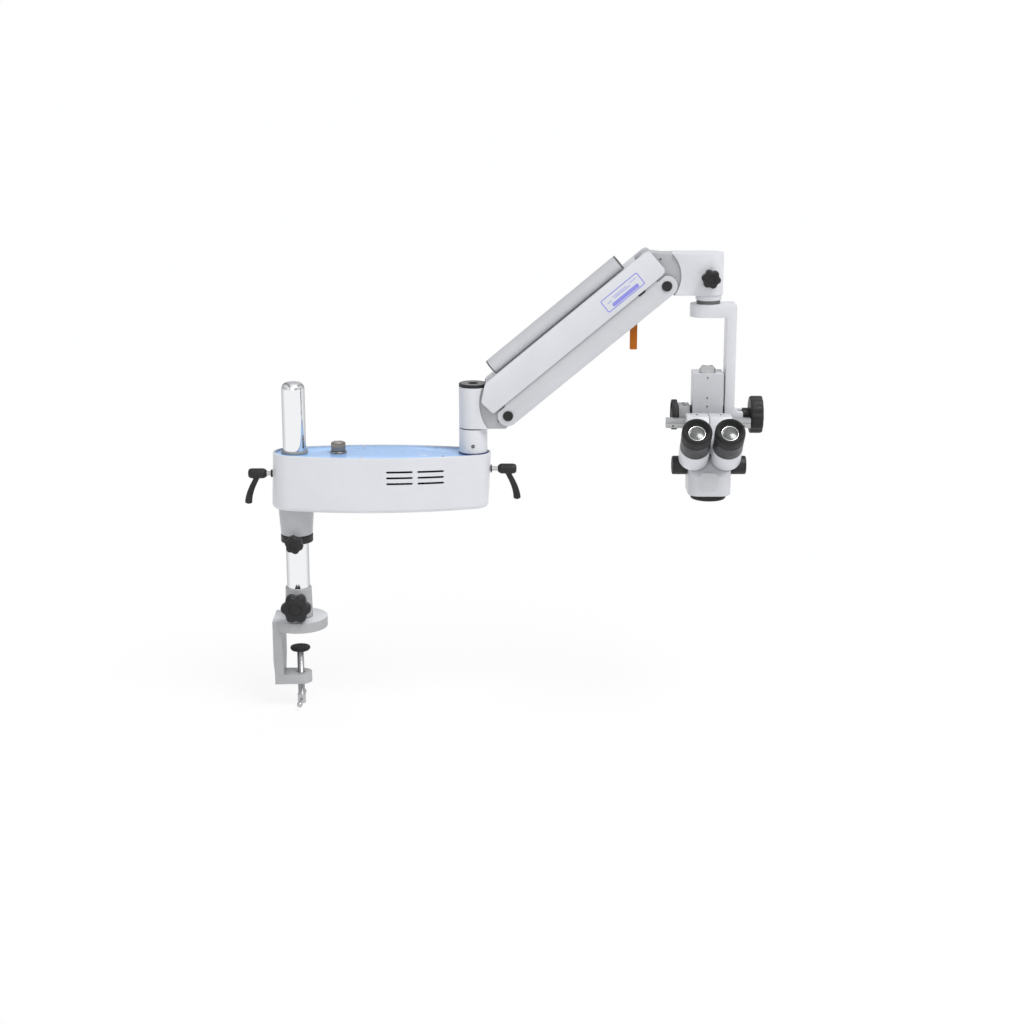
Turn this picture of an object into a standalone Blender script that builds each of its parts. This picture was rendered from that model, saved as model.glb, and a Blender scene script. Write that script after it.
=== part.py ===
# Surgical microscope on a table clamp, built as separate pieces. Metres, +Z up.
# The origin is on the column's axis, on the underside of the clamp's flange.
# +X runs along the housing towards the arm, and the eyepieces look towards -Y.

import math

import bmesh
import bpy
from mathutils import Vector

# Facets round large, plain and small pieces
FINE_SIDES = 20
PLAIN_SIDES = 14
SMALL_SIDES = 10
CUT_SIDES = 40

# Clearances: between fixed and running pieces, small steps that keep faces apart, and how far cutters pass
SEAT_GAP = 0.0003
RUN_GAP = 0.0003
STEP = 0.0004
PAST = 0.010
EDGE = 0.001

# Table clamp
FLANGE_RADIUS = 0.0505
FLANGE_THICKNESS = 0.018
PLATE_OUTER_X = -0.0448
PLATE_THICKNESS = 0.0163
CLAMP_HALF_WIDTH = 0.035
JAW_TOP = -0.088
JAW_THICKNESS = 0.018
JAW_HALF_WIDTH = 0.020
JAW_SHOULDER = 0.030
TABLE_THICKNESS = 0.040
PAD_RADIUS = 0.018
PAD_THICKNESS = 0.006
SCREW_RADIUS = 0.0065
SCREW_LENGTH = 0.101
SCREW_HEAD_LENGTH = 0.018
SCREW_HEAD_EXTRA = 0.001
BAR_RADIUS = 0.003
BAR_LENGTH = 0.080
BAR_HEIGHT = -0.139
BAR_END_RADIUS = 0.0051
BAR_END_LENGTH = 0.008

# Column and its socket
COLUMN_RADIUS = 0.0205
COLUMN_WALL = 0.003
COLUMN_TOP = 0.4446
COLUMN_FOOT = 0.006
DOME_RADIUS = 0.012
SOCKET_TOP = 0.0735
SOCKET_TOP_RADIUS = 0.0232
SOCKET_FOOT_RADIUS = 0.0245
SOCKET_FOOT_BAND = 0.006
SOCKET_KNOB_HEIGHT = 0.047
SOCKET_KNOB_RADIUS = 0.027
SOCKET_KNOB_LOBES = 5
SOCKET_LOBE_DEPTH = 0.0105
SOCKET_KNOB_THICKNESS = 0.020
KNOB_STAND_OFF = 0.009
KNOB_HUB_LENGTH = 0.006

# Stop collar
COLLAR_BOTTOM = 0.1575
COLLAR_TOP = 0.1712
COLLAR_RADIUS = 0.0285
COLLAR_KNOB_RADIUS = 0.0165
COLLAR_KNOB_LOBES = 6
COLLAR_LOBE_DEPTH = 0.0032
COLLAR_KNOB_THICKNESS = 0.014

# Housing
BOSS_FOOT_RADIUS = 0.028
BOSS_TOP_RADIUS = 0.0315
BOSS_TUBE_RADIUS = 0.026
HOUSING_BOTTOM = 0.221
HOUSING_RIM = 0.3205
HOUSING_WALL = 0.003
HOUSING_HALF_WIDTH = 0.056
RIM_LEFT_RADIUS = 0.038
RIM_RIGHT_RADIUS = 0.031
FOOT_LEFT_RADIUS = 0.042
FOOT_RIGHT_RADIUS = 0.026
FOOT_ROUNDING = 0.008
COVER_RECESS = 0.002
COVER_THICKNESS = 0.002
COLUMN_RING_WIDTH = 0.0028
COLUMN_RING_HEIGHT = 0.005
POST_RING_WIDTH = 0.0008
VENT_LEFT = 0.1637
VENT_LENGTH = 0.046
VENT_PITCH_X = 0.054
VENT_TOP_ROW = 0.2956
VENT_PITCH_Z = 0.0104
VENT_HEIGHT = 0.0032
DIAL_X = 0.077
DIAL_RADIUS = 0.0127
DIAL_HEIGHT = 0.019
DIAL_SKIRT = 0.0018
DIAL_SPINDLE = 0.014
DIAL_FLUTES = 12
LAMP_HALF_DEPTH = 0.028
LAMP_FIN_HEIGHT = 0.046
LAMP_FIN_WIDTH = 0.003
LAMP_FIN_PITCH = 0.009
LAMP_FINS = 9
LAMP_BASE = 0.006
LAMP_SHIFT = 0.010
LEFT_LEVER_HEIGHT = 0.281
RIGHT_LEVER_HEIGHT = 0.2897
STUD_RADIUS = 0.004
LEVER_HUB_RADIUS = 0.009
LEVER_HUB_LENGTH = 0.033
LEVER_GRIP_DROP = 0.056
LEVER_STAND_OFF = 0.012
LEVER_GRIP_START = 0.014
LEVER_GRIP_SWEEP = 0.020
LEVER_GRIP_TOP = 0.003
LEVER_COLLAR_RADIUS = 0.007
LEVER_COLLAR_THICKNESS = 0.0025
LEVER_COLLAR_GAP = 0.0006

# Arm post
POST_X = 0.3142
POST_RADIUS = 0.0248
POST_SEAM = 0.3645
POST_TOP = 0.4375
POST_CAP_THICKNESS = 0.0053
SEAM_HALF_GAP = 0.001
SEAM_RECESS = 0.0012
SPINDLE_RADIUS = 0.0103
SPINDLE_FOOT = 0.232
BEARING_RADIUS = 0.020
BEARING_FOOT_RADIUS = 0.0166
POST_RING_HEIGHT = 0.0025
POST_CAP_HOLE = 0.0082
POST_CUT_RADIUS = 0.080
POST_CUT_X = 0.4055
POST_CUT_Z = 0.4112
POST_SHOULDER = 0.028
WEB_FOOT_INSET = 0.004
LOWER_EAR_RADIUS = 0.014
UPPER_EAR_RADIUS = 0.017

# Spring arm
ARM_ANGLE = math.radians(39.8)
LINK_LENGTH = 0.3534
LINK_OFFSET = 0.046
LOWER_PIVOT_X = 0.3752
LOWER_PIVOT_Z = 0.3896
LINK_PIN_RADIUS = 0.005
WEB_HALF_WIDTH = 0.0215
LOWER_WALL_INNER = 0.0237
LOWER_WALL_OUTER = 0.0262
LOWER_END_RADIUS = 0.018
LOWER_TOP_EDGE = 0.0156
UPPER_WALL_INNER = 0.0290
UPPER_WALL_OUTER = 0.0315
UPPER_EDGE_BELOW = 0.026
UPPER_EDGE_ABOVE = 0.0235
SHEET_THICKNESS = 0.0025
PLATE_END_CLEARANCE = 0.014
COVER_LEFT_CLEARANCE = 0.0066
# The cover's corners, along and square to the arm, from the upper left and upper right pivots
COVER_LEFT_CORNERS = [(0.0085, UPPER_EDGE_ABOVE), (0.0045, 0.0222), (-0.0185, 0.004), (-0.0195, 0.001),
                      (-0.0170, -0.023), (-0.014, -UPPER_EDGE_BELOW)]
COVER_RIGHT_CORNERS = [(0.004, -UPPER_EDGE_BELOW), (0.012, -0.024), (0.0155, -0.019), (0.0145, 0.017),
                       (0.012, 0.0215), (0.006, UPPER_EDGE_ABOVE)]
PIN_CAP_RADIUS = 0.0088
PIN_CAP_THICKNESS = 0.002
TUBE_RADIUS = 0.0135
TUBE_WALL = 0.0015
TUBE_START = 0.033
TUBE_LENGTH = 0.281
TUBE_SIDE_SHIFT = -0.014
TUBE_CAP_THICKNESS = 0.002
SADDLE_WIDTH = 0.020
SADDLE_HEIGHT = 0.004
SADDLE_INSET = 0.030
PLUG_LENGTH = 0.006
SPRING_RADIUS = 0.0098
SPRING_WIRE = 0.0022
SPRING_TURNS = 9
LOCK_LEVER_X = 0.5925
LOCK_LEVER_DROP = 0.064
LOCK_LEVER_WIDTH = 0.0127
LOCK_LEVER_THICKNESS = 0.004
LOCK_SLOT_SHIFT = 0.0175
LOCK_SLOT_HALF = 0.018
LOCK_SLOT_SIDE = 0.0012
LOCK_PIN_RADIUS = 0.003

# Head block, yoke and swivel
HEAD_X = 0.7205
BLOCK_BOTTOM = 0.599
BLOCK_TOP = 0.6731
BLOCK_REACH = 0.075
BLOCK_ROOF = 0.012
HEAD_CUT_RADIUS = 0.054
HEAD_CUT_X = 0.6170
HEAD_CUT_Z = 0.6324
HEAD_EAR_RADIUS = 0.0245
HEAD_WEB_INSET = 0.030
HEAD_KNOB_HEIGHT = 0.6298
HEAD_KNOB_RADIUS = 0.0165
HEAD_KNOB_LOBES = 6
HEAD_LOBE_DEPTH = 0.0038
HEAD_KNOB_STAND_OFF = 0.003
HEAD_KNOB_HUB = 0.005
HEAD_KNOB_THICKNESS = 0.014
SWIVEL_RING_RADIUS = 0.0225
SWIVEL_NECK_HEIGHT = 0.005
SWIVEL_PIN_RADIUS = 0.012
YOKE_PLATE_BOTTOM = 0.560
YOKE_PLATE_TOP = 0.583
YOKE_HALF_WIDTH = 0.020
YOKE_LEFT = 0.689
YOKE_BAR_LEFT = 0.7514
YOKE_BAR_RIGHT = 0.7686
YOKE_FOOT_RIGHT = 0.781
YOKE_FOOT_FILLET = 0.010
YOKE_CORNER = 0.003
YOKE_FOOT_BELOW = 0.021
YOKE_FOOT_ABOVE = 0.0075

# Tilt and focus carriage
TILT_HEIGHT = 0.387
TILT_SHAFT_RADIUS = 0.008
TILT_KNOB_RADIUS = 0.033
TILT_KNOB_LEFT = 0.797
TILT_KNOB_WIDTH = 0.025
TILT_KNOB_LOBES = 12
TILT_LOBE_DEPTH = 0.0016
TILT_KNOB_EDGE = 0.0035
TILT_PIN_LENGTH = 0.006
TILT_STUB_RADIUS = 0.0118
FOCUS_HALF_WIDTH = 0.0217
FOCUS_FRONT = -0.024
FOCUS_BACK = 0.018
FOCUS_BELOW = 0.0245
FOCUS_ABOVE = 0.0806
SLIDE_HALF_WIDTH = 0.0143
SLIDE_TAPER = 0.003
SLIDE_FRONT = -0.0205
SLIDE_THICKNESS = 0.0074
SLIDE_ABOVE = 0.0898
SLIDE_BELOW = 0.087
SLIDE_FOOT_HEIGHT = 0.045
SLIDE_FOOT_INSET = 0.004
SLIDE_FOOT_OVERLAP = 0.003
RAIL_LEFT = 0.6487
RAIL_RIGHT = 0.7955
RAIL_BELOW = 0.023
RAIL_HEIGHT = 0.022
RAIL_GROOVE_HEIGHT = 0.011
RAIL_GROOVE_DEPTH = 0.0012
RAIL_GROOVE_WIDTH = 0.0016
RAIL_FRONT = -0.0405
RAIL_BACK = -0.0272
RAIL_PAD_HALF_WIDTH = 0.0187
BEARING_BLOCK_LEFT = 0.672
BEARING_BLOCK_RIGHT = 0.692
BEARING_BLOCK_BELOW = 0.021
BEARING_BLOCK_ABOVE = 0.018
BEARING_BLOCK_HALF_DEPTH = 0.018
WASHER_RADIUS = 0.0165
WHEEL_RADIUS = 0.0265
WHEEL_WIDTH = 0.010
WHEEL_GAP = 0.0015
WHEEL_STUB_LENGTH = 0.0037
WHEEL_FLUTES = 16
WHEEL_GROOVE = 0.0007

# Scope
SCOPE_BACK = -0.0413
SCOPE_HALF_WIDTH = 0.0368
SCOPE_BELOW = 0.120
SCOPE_HEIGHT = 0.066
SCOPE_FRONT = -0.113
SCOPE_CORNER = 0.020
SCOPE_BACK_CORNER = 0.006
OPTICAL_Y = -0.077
OBJECTIVE_RADIUS = 0.0306
OBJECTIVE_HEIGHT = 0.010
LENS_RADIUS = 0.0237
ZOOM_BELOW = 0.0725
ZOOM_RADIUS = 0.016
ZOOM_REACH = 0.0635
ZOOM_SHAFT_RADIUS = 0.006
EYE_SPACING = 0.0556
EYE_FACE_Y = -0.150
EYE_FACE_ABOVE = 0.004
EYE_ANGLE = math.radians(45.0)
BARREL_RADIUS = 0.0265
BARREL_LENGTH = 0.052
TUBE_END = 0.0884
EYE_STEM_LENGTH = 0.020
CUP_LENGTH = 0.020
LENS_DEPTH = 0.016
LENS_LIP = 0.0018
LENS_RIM_THICKNESS = 0.0035
LENS_BULGE = 0.0025
CUP_LIP = 0.005
SCOPE_BORE_DEPTH = 0.020
EYE_TUBE_RADIUS = 0.0258
EYE_STEM_RADIUS = 0.0148
EYE_LENS_RADIUS = 0.0142
PRISM_HALF_WIDTH = 0.0390
PRISM_ABOVE = 0.011
PRISM_FRONT_TOP = -0.072
PRISM_KNEE_Y = -0.0925
PRISM_KNEE_BELOW = 0.025
PRISM_FRONT_Y = -0.1055
PRISM_FRONT_BELOW = 0.0535
PRISM_FOOT_STEP = 0.002
SCOPE_GAP = 0.0011

# Heights that follow the tilt axis
YOKE_FOOT_BOTTOM = TILT_HEIGHT - YOKE_FOOT_BELOW
YOKE_FOOT_TOP = TILT_HEIGHT + YOKE_FOOT_ABOVE
FOCUS_BOTTOM = TILT_HEIGHT - FOCUS_BELOW
FOCUS_TOP = TILT_HEIGHT + FOCUS_ABOVE
SLIDE_TOP = TILT_HEIGHT + SLIDE_ABOVE
SLIDE_FOOT_BOTTOM = TILT_HEIGHT - SLIDE_BELOW
SLIDE_FOOT_TOP = SLIDE_FOOT_BOTTOM + SLIDE_FOOT_HEIGHT
RAIL_BOTTOM = TILT_HEIGHT - RAIL_BELOW
RAIL_TOP = RAIL_BOTTOM + RAIL_HEIGHT
BEARING_BLOCK_BOTTOM = TILT_HEIGHT - BEARING_BLOCK_BELOW
BEARING_BLOCK_TOP = TILT_HEIGHT + BEARING_BLOCK_ABOVE
SCOPE_BOTTOM = TILT_HEIGHT - SCOPE_BELOW
SCOPE_TOP = SCOPE_BOTTOM + SCOPE_HEIGHT
ZOOM_HEIGHT = TILT_HEIGHT - ZOOM_BELOW
EYE_FACE_Z = TILT_HEIGHT + EYE_FACE_ABOVE
PRISM_TOP = TILT_HEIGHT + PRISM_ABOVE

# Colours as the real pieces have them: name, colour, roughness, metallic
FINISHES = {
    "paint": ((0.80, 0.81, 0.84), 0.35, 0.0),
    "grey_paint": ((0.52, 0.53, 0.55), 0.4, 0.0),
    "blue_paint": ((0.36, 0.58, 0.95), 0.35, 0.0),
    "black_plastic": ((0.035, 0.035, 0.038), 0.45, 0.0),
    "rubber": ((0.03, 0.03, 0.03), 0.8, 0.0),
    "chrome": ((0.82, 0.82, 0.83), 0.08, 1.0),
    "steel": ((0.55, 0.55, 0.57), 0.3, 1.0),
    "aluminium": ((0.70, 0.71, 0.73), 0.35, 1.0),
    "orange_paint": ((0.60, 0.20, 0.02), 0.45, 0.0),
    "glass": ((0.75, 0.85, 0.88), 0.02, 0.0),
}


# Modelling helpers

def material(finish):
    found = bpy.data.materials.get(finish)
    if found:
        return found
    colour, roughness, metallic = FINISHES[finish]
    made = bpy.data.materials.new(finish)
    made.use_nodes = True
    shader = made.node_tree.nodes["Principled BSDF"]
    shader.inputs["Base Color"].default_value = (*colour, 1.0)
    shader.inputs["Roughness"].default_value = roughness
    shader.inputs["Metallic"].default_value = metallic
    return made


def finish_piece(name, mesh_data, finish, at=(0, 0, 0), turn=(0, 0, 0)):
    # Turns a bmesh into a named object whose origin is at a point on its joint's axis.
    bmesh.ops.recalc_face_normals(mesh_data, faces=mesh_data.faces)
    mesh = bpy.data.meshes.new(name)
    mesh_data.to_mesh(mesh)
    mesh_data.free()
    piece = bpy.data.objects.new(name, mesh)
    bpy.context.scene.collection.objects.link(piece)
    piece.location = at
    piece.rotation_euler = turn
    if finish:
        mesh.materials.append(material(finish))
        mesh.shade_smooth()
        mesh.set_sharp_from_angle(angle=math.radians(32))
    return piece


def boolean(piece, tool, operation="DIFFERENCE"):
    # Keeps the tool as a wire guide that is left out of renders.
    step = piece.modifiers.new(operation.lower(), "BOOLEAN")
    step.operation = operation
    step.solver = "EXACT"
    step.object = tool
    tool.hide_render = True
    tool.display_type = "WIRE"
    return piece


def to_axis(point, axis):
    # A point drawn about +Z, laid so that its +Z lies along the named axis.
    x, y, z = point
    return {"Z": (x, y, z), "Y": (x, -z, y), "X": (z, y, -x), "-X": (-z, y, x), "-Y": (x, z, -y)}[axis]


def circle(radius, count, centre=(0.0, 0.0), start=0.0, end=math.tau):
    full = abs(end - start - math.tau) < 1e-6
    steps = count if full else count - 1
    return [
        (
            centre[0] + radius * math.cos(start + (end - start) * i / steps),
            centre[1] + radius * math.sin(start + (end - start) * i / steps),
        )
        for i in range(count)
    ]


def loft(sections, closed=False):
    # Skins a list of point rings of one length; closed joins the last ring to the first.
    build = bmesh.new()
    rings = [[build.verts.new(p) for p in section] for section in sections]
    pairs = list(zip(rings, rings[1:]))
    if closed:
        pairs.append((rings[-1], rings[0]))
    for low, high in pairs:
        count = len(low)
        for i in range(count):
            j = (i + 1) % count
            build.faces.new((low[i], low[j], high[j], high[i]))
    if not closed:
        build.faces.new(list(reversed(rings[0])))
        build.faces.new(rings[-1])
    return build


def turned(profile, count=PLAIN_SIDES, axis="Z", closed=False):
    # Revolves (radius, height) points; closed profiles make rings with a bore.
    sections = []
    for radius, height in profile:
        sections.append([to_axis((x, y, height), axis) for x, y in circle(radius, count)])
    return loft(sections, closed)


def ring_piece(outer, inner, low, high, count=PLAIN_SIDES, axis="Z", edge=0.0):
    profile = [(inner, low), (outer - edge, low), (outer, low + edge), (outer, high - edge),
               (outer - edge, high), (inner, high)]
    if edge == 0.0:
        profile = [(inner, low), (outer, low), (outer, high), (inner, high)]
    return turned(profile, count, axis, closed=True)


def rod(radius, low, high, count=PLAIN_SIDES, axis="Z", edge=0.0005):
    profile = [(radius - edge, low), (radius, low + edge), (radius, high - edge), (radius - edge, high)]
    if edge == 0.0:
        profile = [(radius, low), (radius, high)]
    return turned(profile, count, axis)


def prism(outline, low, high, plane="XY"):
    # Extrudes an outline: XY along Z, XZ along Y, YZ along X.
    def place(point, level):
        a, b = point
        return {"XY": (a, b, level), "XZ": (a, level, b), "YZ": (level, a, b)}[plane]
    return loft([[place(p, low) for p in outline], [place(p, high) for p in outline]])


def box(low, high):
    outline = [(low[0], low[1]), (high[0], low[1]), (high[0], high[1]), (low[0], high[1])]
    return prism(outline, low[2], high[2])


def tool(mesh_data, at=(0, 0, 0), turn=(0, 0, 0)):
    return finish_piece("guide", mesh_data, None, at, turn)


def merge(*parts):
    # Several separate closed shapes in one bmesh.
    build = bmesh.new()
    for part in parts:
        mesh = bpy.data.meshes.new("merge")
        part.to_mesh(mesh)
        part.free()
        build.from_mesh(mesh)
        bpy.data.meshes.remove(mesh)
    return build


def moved(mesh_data, offset):
    bmesh.ops.translate(mesh_data, vec=offset, verts=mesh_data.verts)
    return mesh_data


def soft_edges(piece):
    step = piece.modifiers.new("edges", "BEVEL")
    step.width = EDGE
    step.segments = 2
    step.limit_method = "ANGLE"
    step.angle_limit = math.radians(35)


def lobed(radius, lobes, depth, points_per_lobe):
    # A knob's outline: round lobes with rounded hollows between them.
    count = lobes * points_per_lobe
    outline = []
    for i in range(count):
        angle = math.tau * i / count - math.pi / 2
        wave = 0.5 - 0.5 * math.cos(math.tau * i / points_per_lobe)
        reach = radius - depth * wave ** 1.5
        outline.append((reach * math.cos(angle), reach * math.sin(angle)))
    return outline


def scaled(outline, factor):
    return [(x * factor, y * factor) for x, y in outline]


def lobed_knob(radius, lobes, depth, stud_length, hub_length, thickness, per_lobe):
    # A lobed head on a hub and a threaded stud, drawn from the stud's tip outwards along -Y.
    outline = lobed(radius, lobes, depth, per_lobe)
    count = len(outline)
    turn = -math.pi / 2
    stud = circle(STUD_RADIUS, count, start=turn, end=turn + math.tau)
    hub = circle(radius * 0.42, count, start=turn, end=turn + math.tau)
    levels = [
        (stud, 0.0),
        (stud, stud_length),
        (hub, stud_length),
        (hub, stud_length + hub_length),
        (scaled(outline, 0.9), stud_length + hub_length),
        (outline, stud_length + hub_length + 0.12 * thickness),
        (outline, stud_length + hub_length + 0.8 * thickness),
        (scaled(outline, 0.86), stud_length + hub_length + thickness),
    ]
    return loft([[to_axis((x, y, z), "Y") for x, y in ring] for ring, z in levels])


# Table clamp

def clamp_frame():
    flange_cut = math.acos(PLATE_OUTER_X / FLANGE_RADIUS)
    outline = circle(FLANGE_RADIUS, FINE_SIDES, start=-flange_cut, end=flange_cut)
    piece = finish_piece("clamp_frame", prism(outline, 0.0, FLANGE_THICKNESS), "grey_paint")
    plate_inner = PLATE_OUTER_X + PLATE_THICKNESS
    jaw_bottom = JAW_TOP - JAW_THICKNESS
    slab_top = FLANGE_THICKNESS - STEP
    shoulder = JAW_TOP + JAW_SHOULDER
    half = [(CLAMP_HALF_WIDTH, slab_top), (CLAMP_HALF_WIDTH, shoulder), (JAW_HALF_WIDTH, JAW_TOP),
            (JAW_HALF_WIDTH, jaw_bottom)]
    plate = prism([(-y, z) for y, z in half] + list(reversed(half)), PLATE_OUTER_X, plate_inner, "YZ")
    boolean(piece, tool(plate), "UNION")
    bridge = box((PLATE_OUTER_X, -CLAMP_HALF_WIDTH, 0.0), (-COLUMN_RADIUS, CLAMP_HALF_WIDTH, slab_top))
    boolean(piece, tool(bridge), "UNION")
    nose = circle(JAW_HALF_WIDTH, 13, start=-math.pi / 2, end=math.pi / 2)
    nose += [(PLATE_OUTER_X + STEP, JAW_HALF_WIDTH), (PLATE_OUTER_X + STEP, -JAW_HALF_WIDTH)]
    boolean(piece, tool(prism(nose, jaw_bottom + STEP, JAW_TOP)), "UNION")
    screw_hole = rod(SCREW_RADIUS + RUN_GAP, jaw_bottom - PAST, JAW_TOP + PAST, PLAIN_SIDES, edge=0.0)
    boolean(piece, tool(screw_hole))
    column_hole = rod(COLUMN_RADIUS + SEAT_GAP, COLUMN_FOOT, FLANGE_THICKNESS + PAST, FINE_SIDES, edge=0.0)
    boolean(piece, tool(column_hole))
    return piece


def clamp_screw():
    top = -TABLE_THICKNESS - PAD_THICKNESS - SEAT_GAP
    bottom = top - SCREW_LENGTH
    head_top = bottom + SCREW_HEAD_LENGTH
    head = SCREW_RADIUS + SCREW_HEAD_EXTRA
    profile = [(head - 2 * EDGE, bottom), (head, bottom + 2 * EDGE), (head, head_top),
               (SCREW_RADIUS, head_top), (SCREW_RADIUS, top - EDGE), (SCREW_RADIUS - EDGE, top)]
    piece = finish_piece("clamp_screw", turned(profile, PLAIN_SIDES), "steel")
    hole = rod(BAR_RADIUS + RUN_GAP, -head - PAST, head + PAST, SMALL_SIDES, "Y", 0.0)
    boolean(piece, tool(moved(hole, (0, 0, BAR_HEIGHT))))
    return piece


def tommy_bar():
    half = BAR_LENGTH / 2
    neck = half - BAR_END_LENGTH
    end = [(BAR_RADIUS, neck), (BAR_END_RADIUS, neck + 2 * EDGE), (BAR_END_RADIUS, half - 2 * EDGE),
           (BAR_RADIUS, half)]
    profile = [(radius, -y) for radius, y in reversed(end)] + end
    return finish_piece("tommy_bar", turned(profile, SMALL_SIDES, "Y"), "steel", at=(0, 0, BAR_HEIGHT))


def clamp_pad():
    top = -TABLE_THICKNESS
    profile = [(PAD_RADIUS - 2 * EDGE, top - PAD_THICKNESS), (PAD_RADIUS, top - PAD_THICKNESS / 2),
               (PAD_RADIUS, top - EDGE), (PAD_RADIUS - EDGE, top)]
    return finish_piece("clamp_pad", turned(profile, PLAIN_SIDES), "black_plastic")


# Column, socket and their knobs

def column_socket():
    bore = COLUMN_RADIUS + SEAT_GAP
    foot = FLANGE_THICKNESS + SEAT_GAP
    profile = [(bore, foot), (SOCKET_FOOT_RADIUS, foot), (SOCKET_FOOT_RADIUS, foot + SOCKET_FOOT_BAND),
               (SOCKET_TOP_RADIUS, SOCKET_TOP - EDGE), (SOCKET_TOP_RADIUS - EDGE, SOCKET_TOP),
               (bore, SOCKET_TOP)]
    piece = finish_piece("column_socket", turned(profile, FINE_SIDES, closed=True), "grey_paint")
    boolean(piece, tool(front_stud_hole(SOCKET_KNOB_HEIGHT, SOCKET_FOOT_RADIUS)))
    return piece


def front_stud_hole(height, wall):
    # A hole from the column out through a wall at its front.
    hole = rod(STUD_RADIUS + RUN_GAP, COLUMN_RADIUS - PAST, wall + PAST, SMALL_SIDES, "Y", 0.0)
    return moved(hole, (0, 0, height))


def column():
    # A tube with a domed top, open at its foot.
    radius = COLUMN_RADIUS
    shoulder = COLUMN_TOP - DOME_RADIUS
    outer = [(radius, COLUMN_FOOT + SEAT_GAP), (radius, shoulder)]
    steps = 5
    for i in range(1, steps):
        angle = math.pi / 2 * i / steps
        outer.append((radius - DOME_RADIUS * (1 - math.cos(angle)), shoulder + DOME_RADIUS * math.sin(angle)))
    outer.append((COLUMN_RADIUS - DOME_RADIUS, COLUMN_TOP))
    bore = radius - COLUMN_WALL
    piece = finish_piece("column", turned(outer, FINE_SIDES), "chrome")
    inner = [(bore - COLUMN_WALL, shoulder), (bore, shoulder - COLUMN_WALL), (bore, COLUMN_FOOT - PAST)]
    boolean(piece, tool(turned(inner, FINE_SIDES)))
    return piece


def knob_on_column(name, height, radius, lobes, depth, wall_radius, thickness, per_lobe):
    # A clamping knob at the column's front, whose stud passes a wall and ends at the column.
    tip = COLUMN_RADIUS + SEAT_GAP
    stud_length = wall_radius + KNOB_STAND_OFF - tip
    shape = lobed_knob(radius, lobes, depth, stud_length, KNOB_HUB_LENGTH, thickness, per_lobe)
    return finish_piece(name, shape, "black_plastic", at=(0, -tip, height))


def stop_collar():
    bore = COLUMN_RADIUS + RUN_GAP
    shape = ring_piece(COLLAR_RADIUS, bore, COLLAR_BOTTOM, COLLAR_TOP, FINE_SIDES, edge=EDGE)
    piece = finish_piece("stop_collar", shape, "black_plastic")
    boolean(piece, tool(front_stud_hole(collar_middle(), COLLAR_RADIUS)))
    return piece


def collar_middle():
    return (COLLAR_BOTTOM + COLLAR_TOP) / 2


# Housing

def boat_outline(left_radius, right_radius, half_width, inset=0.0):
    # Two end arcs joined by long bowed sides that meet them smoothly.
    left = left_radius - inset
    right = right_radius - inset
    wide = half_width - inset

    def span(big):
        return (math.sqrt((wide - left) * (2 * big - left - wide))
                + math.sqrt((wide - right) * (2 * big - right - wide)))

    low, high = wide, 100 * POST_X
    for _ in range(60):
        big = (low + high) / 2
        if span(big) < POST_X:
            low = big
        else:
            high = big
    middle_x = math.sqrt((wide - left) * (2 * big - left - wide))
    drop = big - wide
    left_angle = math.atan2(drop, -middle_x)
    right_angle = math.atan2(drop, POST_X - middle_x)
    right_arc = circle(right, 8, (POST_X, 0.0), -right_angle, right_angle)
    top = circle(big, 8, (middle_x, -drop), right_angle, left_angle)
    left_arc = circle(left, 9, (0.0, 0.0), left_angle, math.tau - left_angle)
    bottom = [(x, -y) for x, y in reversed(top)]
    return right_arc + top[1:-1] + left_arc + bottom[1:-1]


def housing_section(share, inset=0.0):
    # The housing's outline at a share of its height, from the foot at 0 to the rim at 1.
    left = FOOT_LEFT_RADIUS + (RIM_LEFT_RADIUS - FOOT_LEFT_RADIUS) * share
    right = FOOT_RIGHT_RADIUS + (RIM_RIGHT_RADIUS - FOOT_RIGHT_RADIUS) * share
    return boat_outline(left, right, HOUSING_HALF_WIDTH, inset)


def housing_shell():
    height = HOUSING_RIM - HOUSING_BOTTOM
    sections = []
    steps = 3
    for i in range(steps + 1):
        angle = math.pi / 2 * i / steps
        inset = FOOT_ROUNDING * (1 - math.sin(angle))
        level = FOOT_ROUNDING * (1 - math.cos(angle))
        outline = housing_section(level / height, inset)
        sections.append([(x, y, HOUSING_BOTTOM + level) for x, y in outline])
    for level, inset in ((height - EDGE, 0.0), (height, EDGE)):
        outline = housing_section(level / height, inset)
        sections.append([(x, y, HOUSING_BOTTOM + level) for x, y in outline])
    piece = finish_piece("housing_shell", loft(sections), "paint")
    inner = []
    corner = HOUSING_WALL + FOOT_ROUNDING / 2
    for level, inset in ((HOUSING_WALL, corner), (2 * HOUSING_WALL, HOUSING_WALL), (height, HOUSING_WALL),
                         (height + PAST, HOUSING_WALL)):
        outline = housing_section(min(level / height, 1.0), inset)
        inner.append([(x, y, HOUSING_BOTTOM + level) for x, y in outline])
    boolean(piece, tool(loft(inner)))
    hole = rod(BOSS_TUBE_RADIUS + SEAT_GAP, HOUSING_BOTTOM - PAST, HOUSING_BOTTOM + PAST, FINE_SIDES,
               edge=0.0)
    boolean(piece, tool(hole))
    boolean(piece, tool(vent_cutters()))
    for x, z in ((-FOOT_LEFT_RADIUS, LEFT_LEVER_HEIGHT), (POST_X + RIM_RIGHT_RADIUS, RIGHT_LEVER_HEIGHT)):
        hole = moved(rod(STUD_RADIUS + RUN_GAP, -PAST, PAST, SMALL_SIDES, "X", 0.0), (x, 0, z))
        boolean(piece, tool(hole))
    return piece


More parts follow.
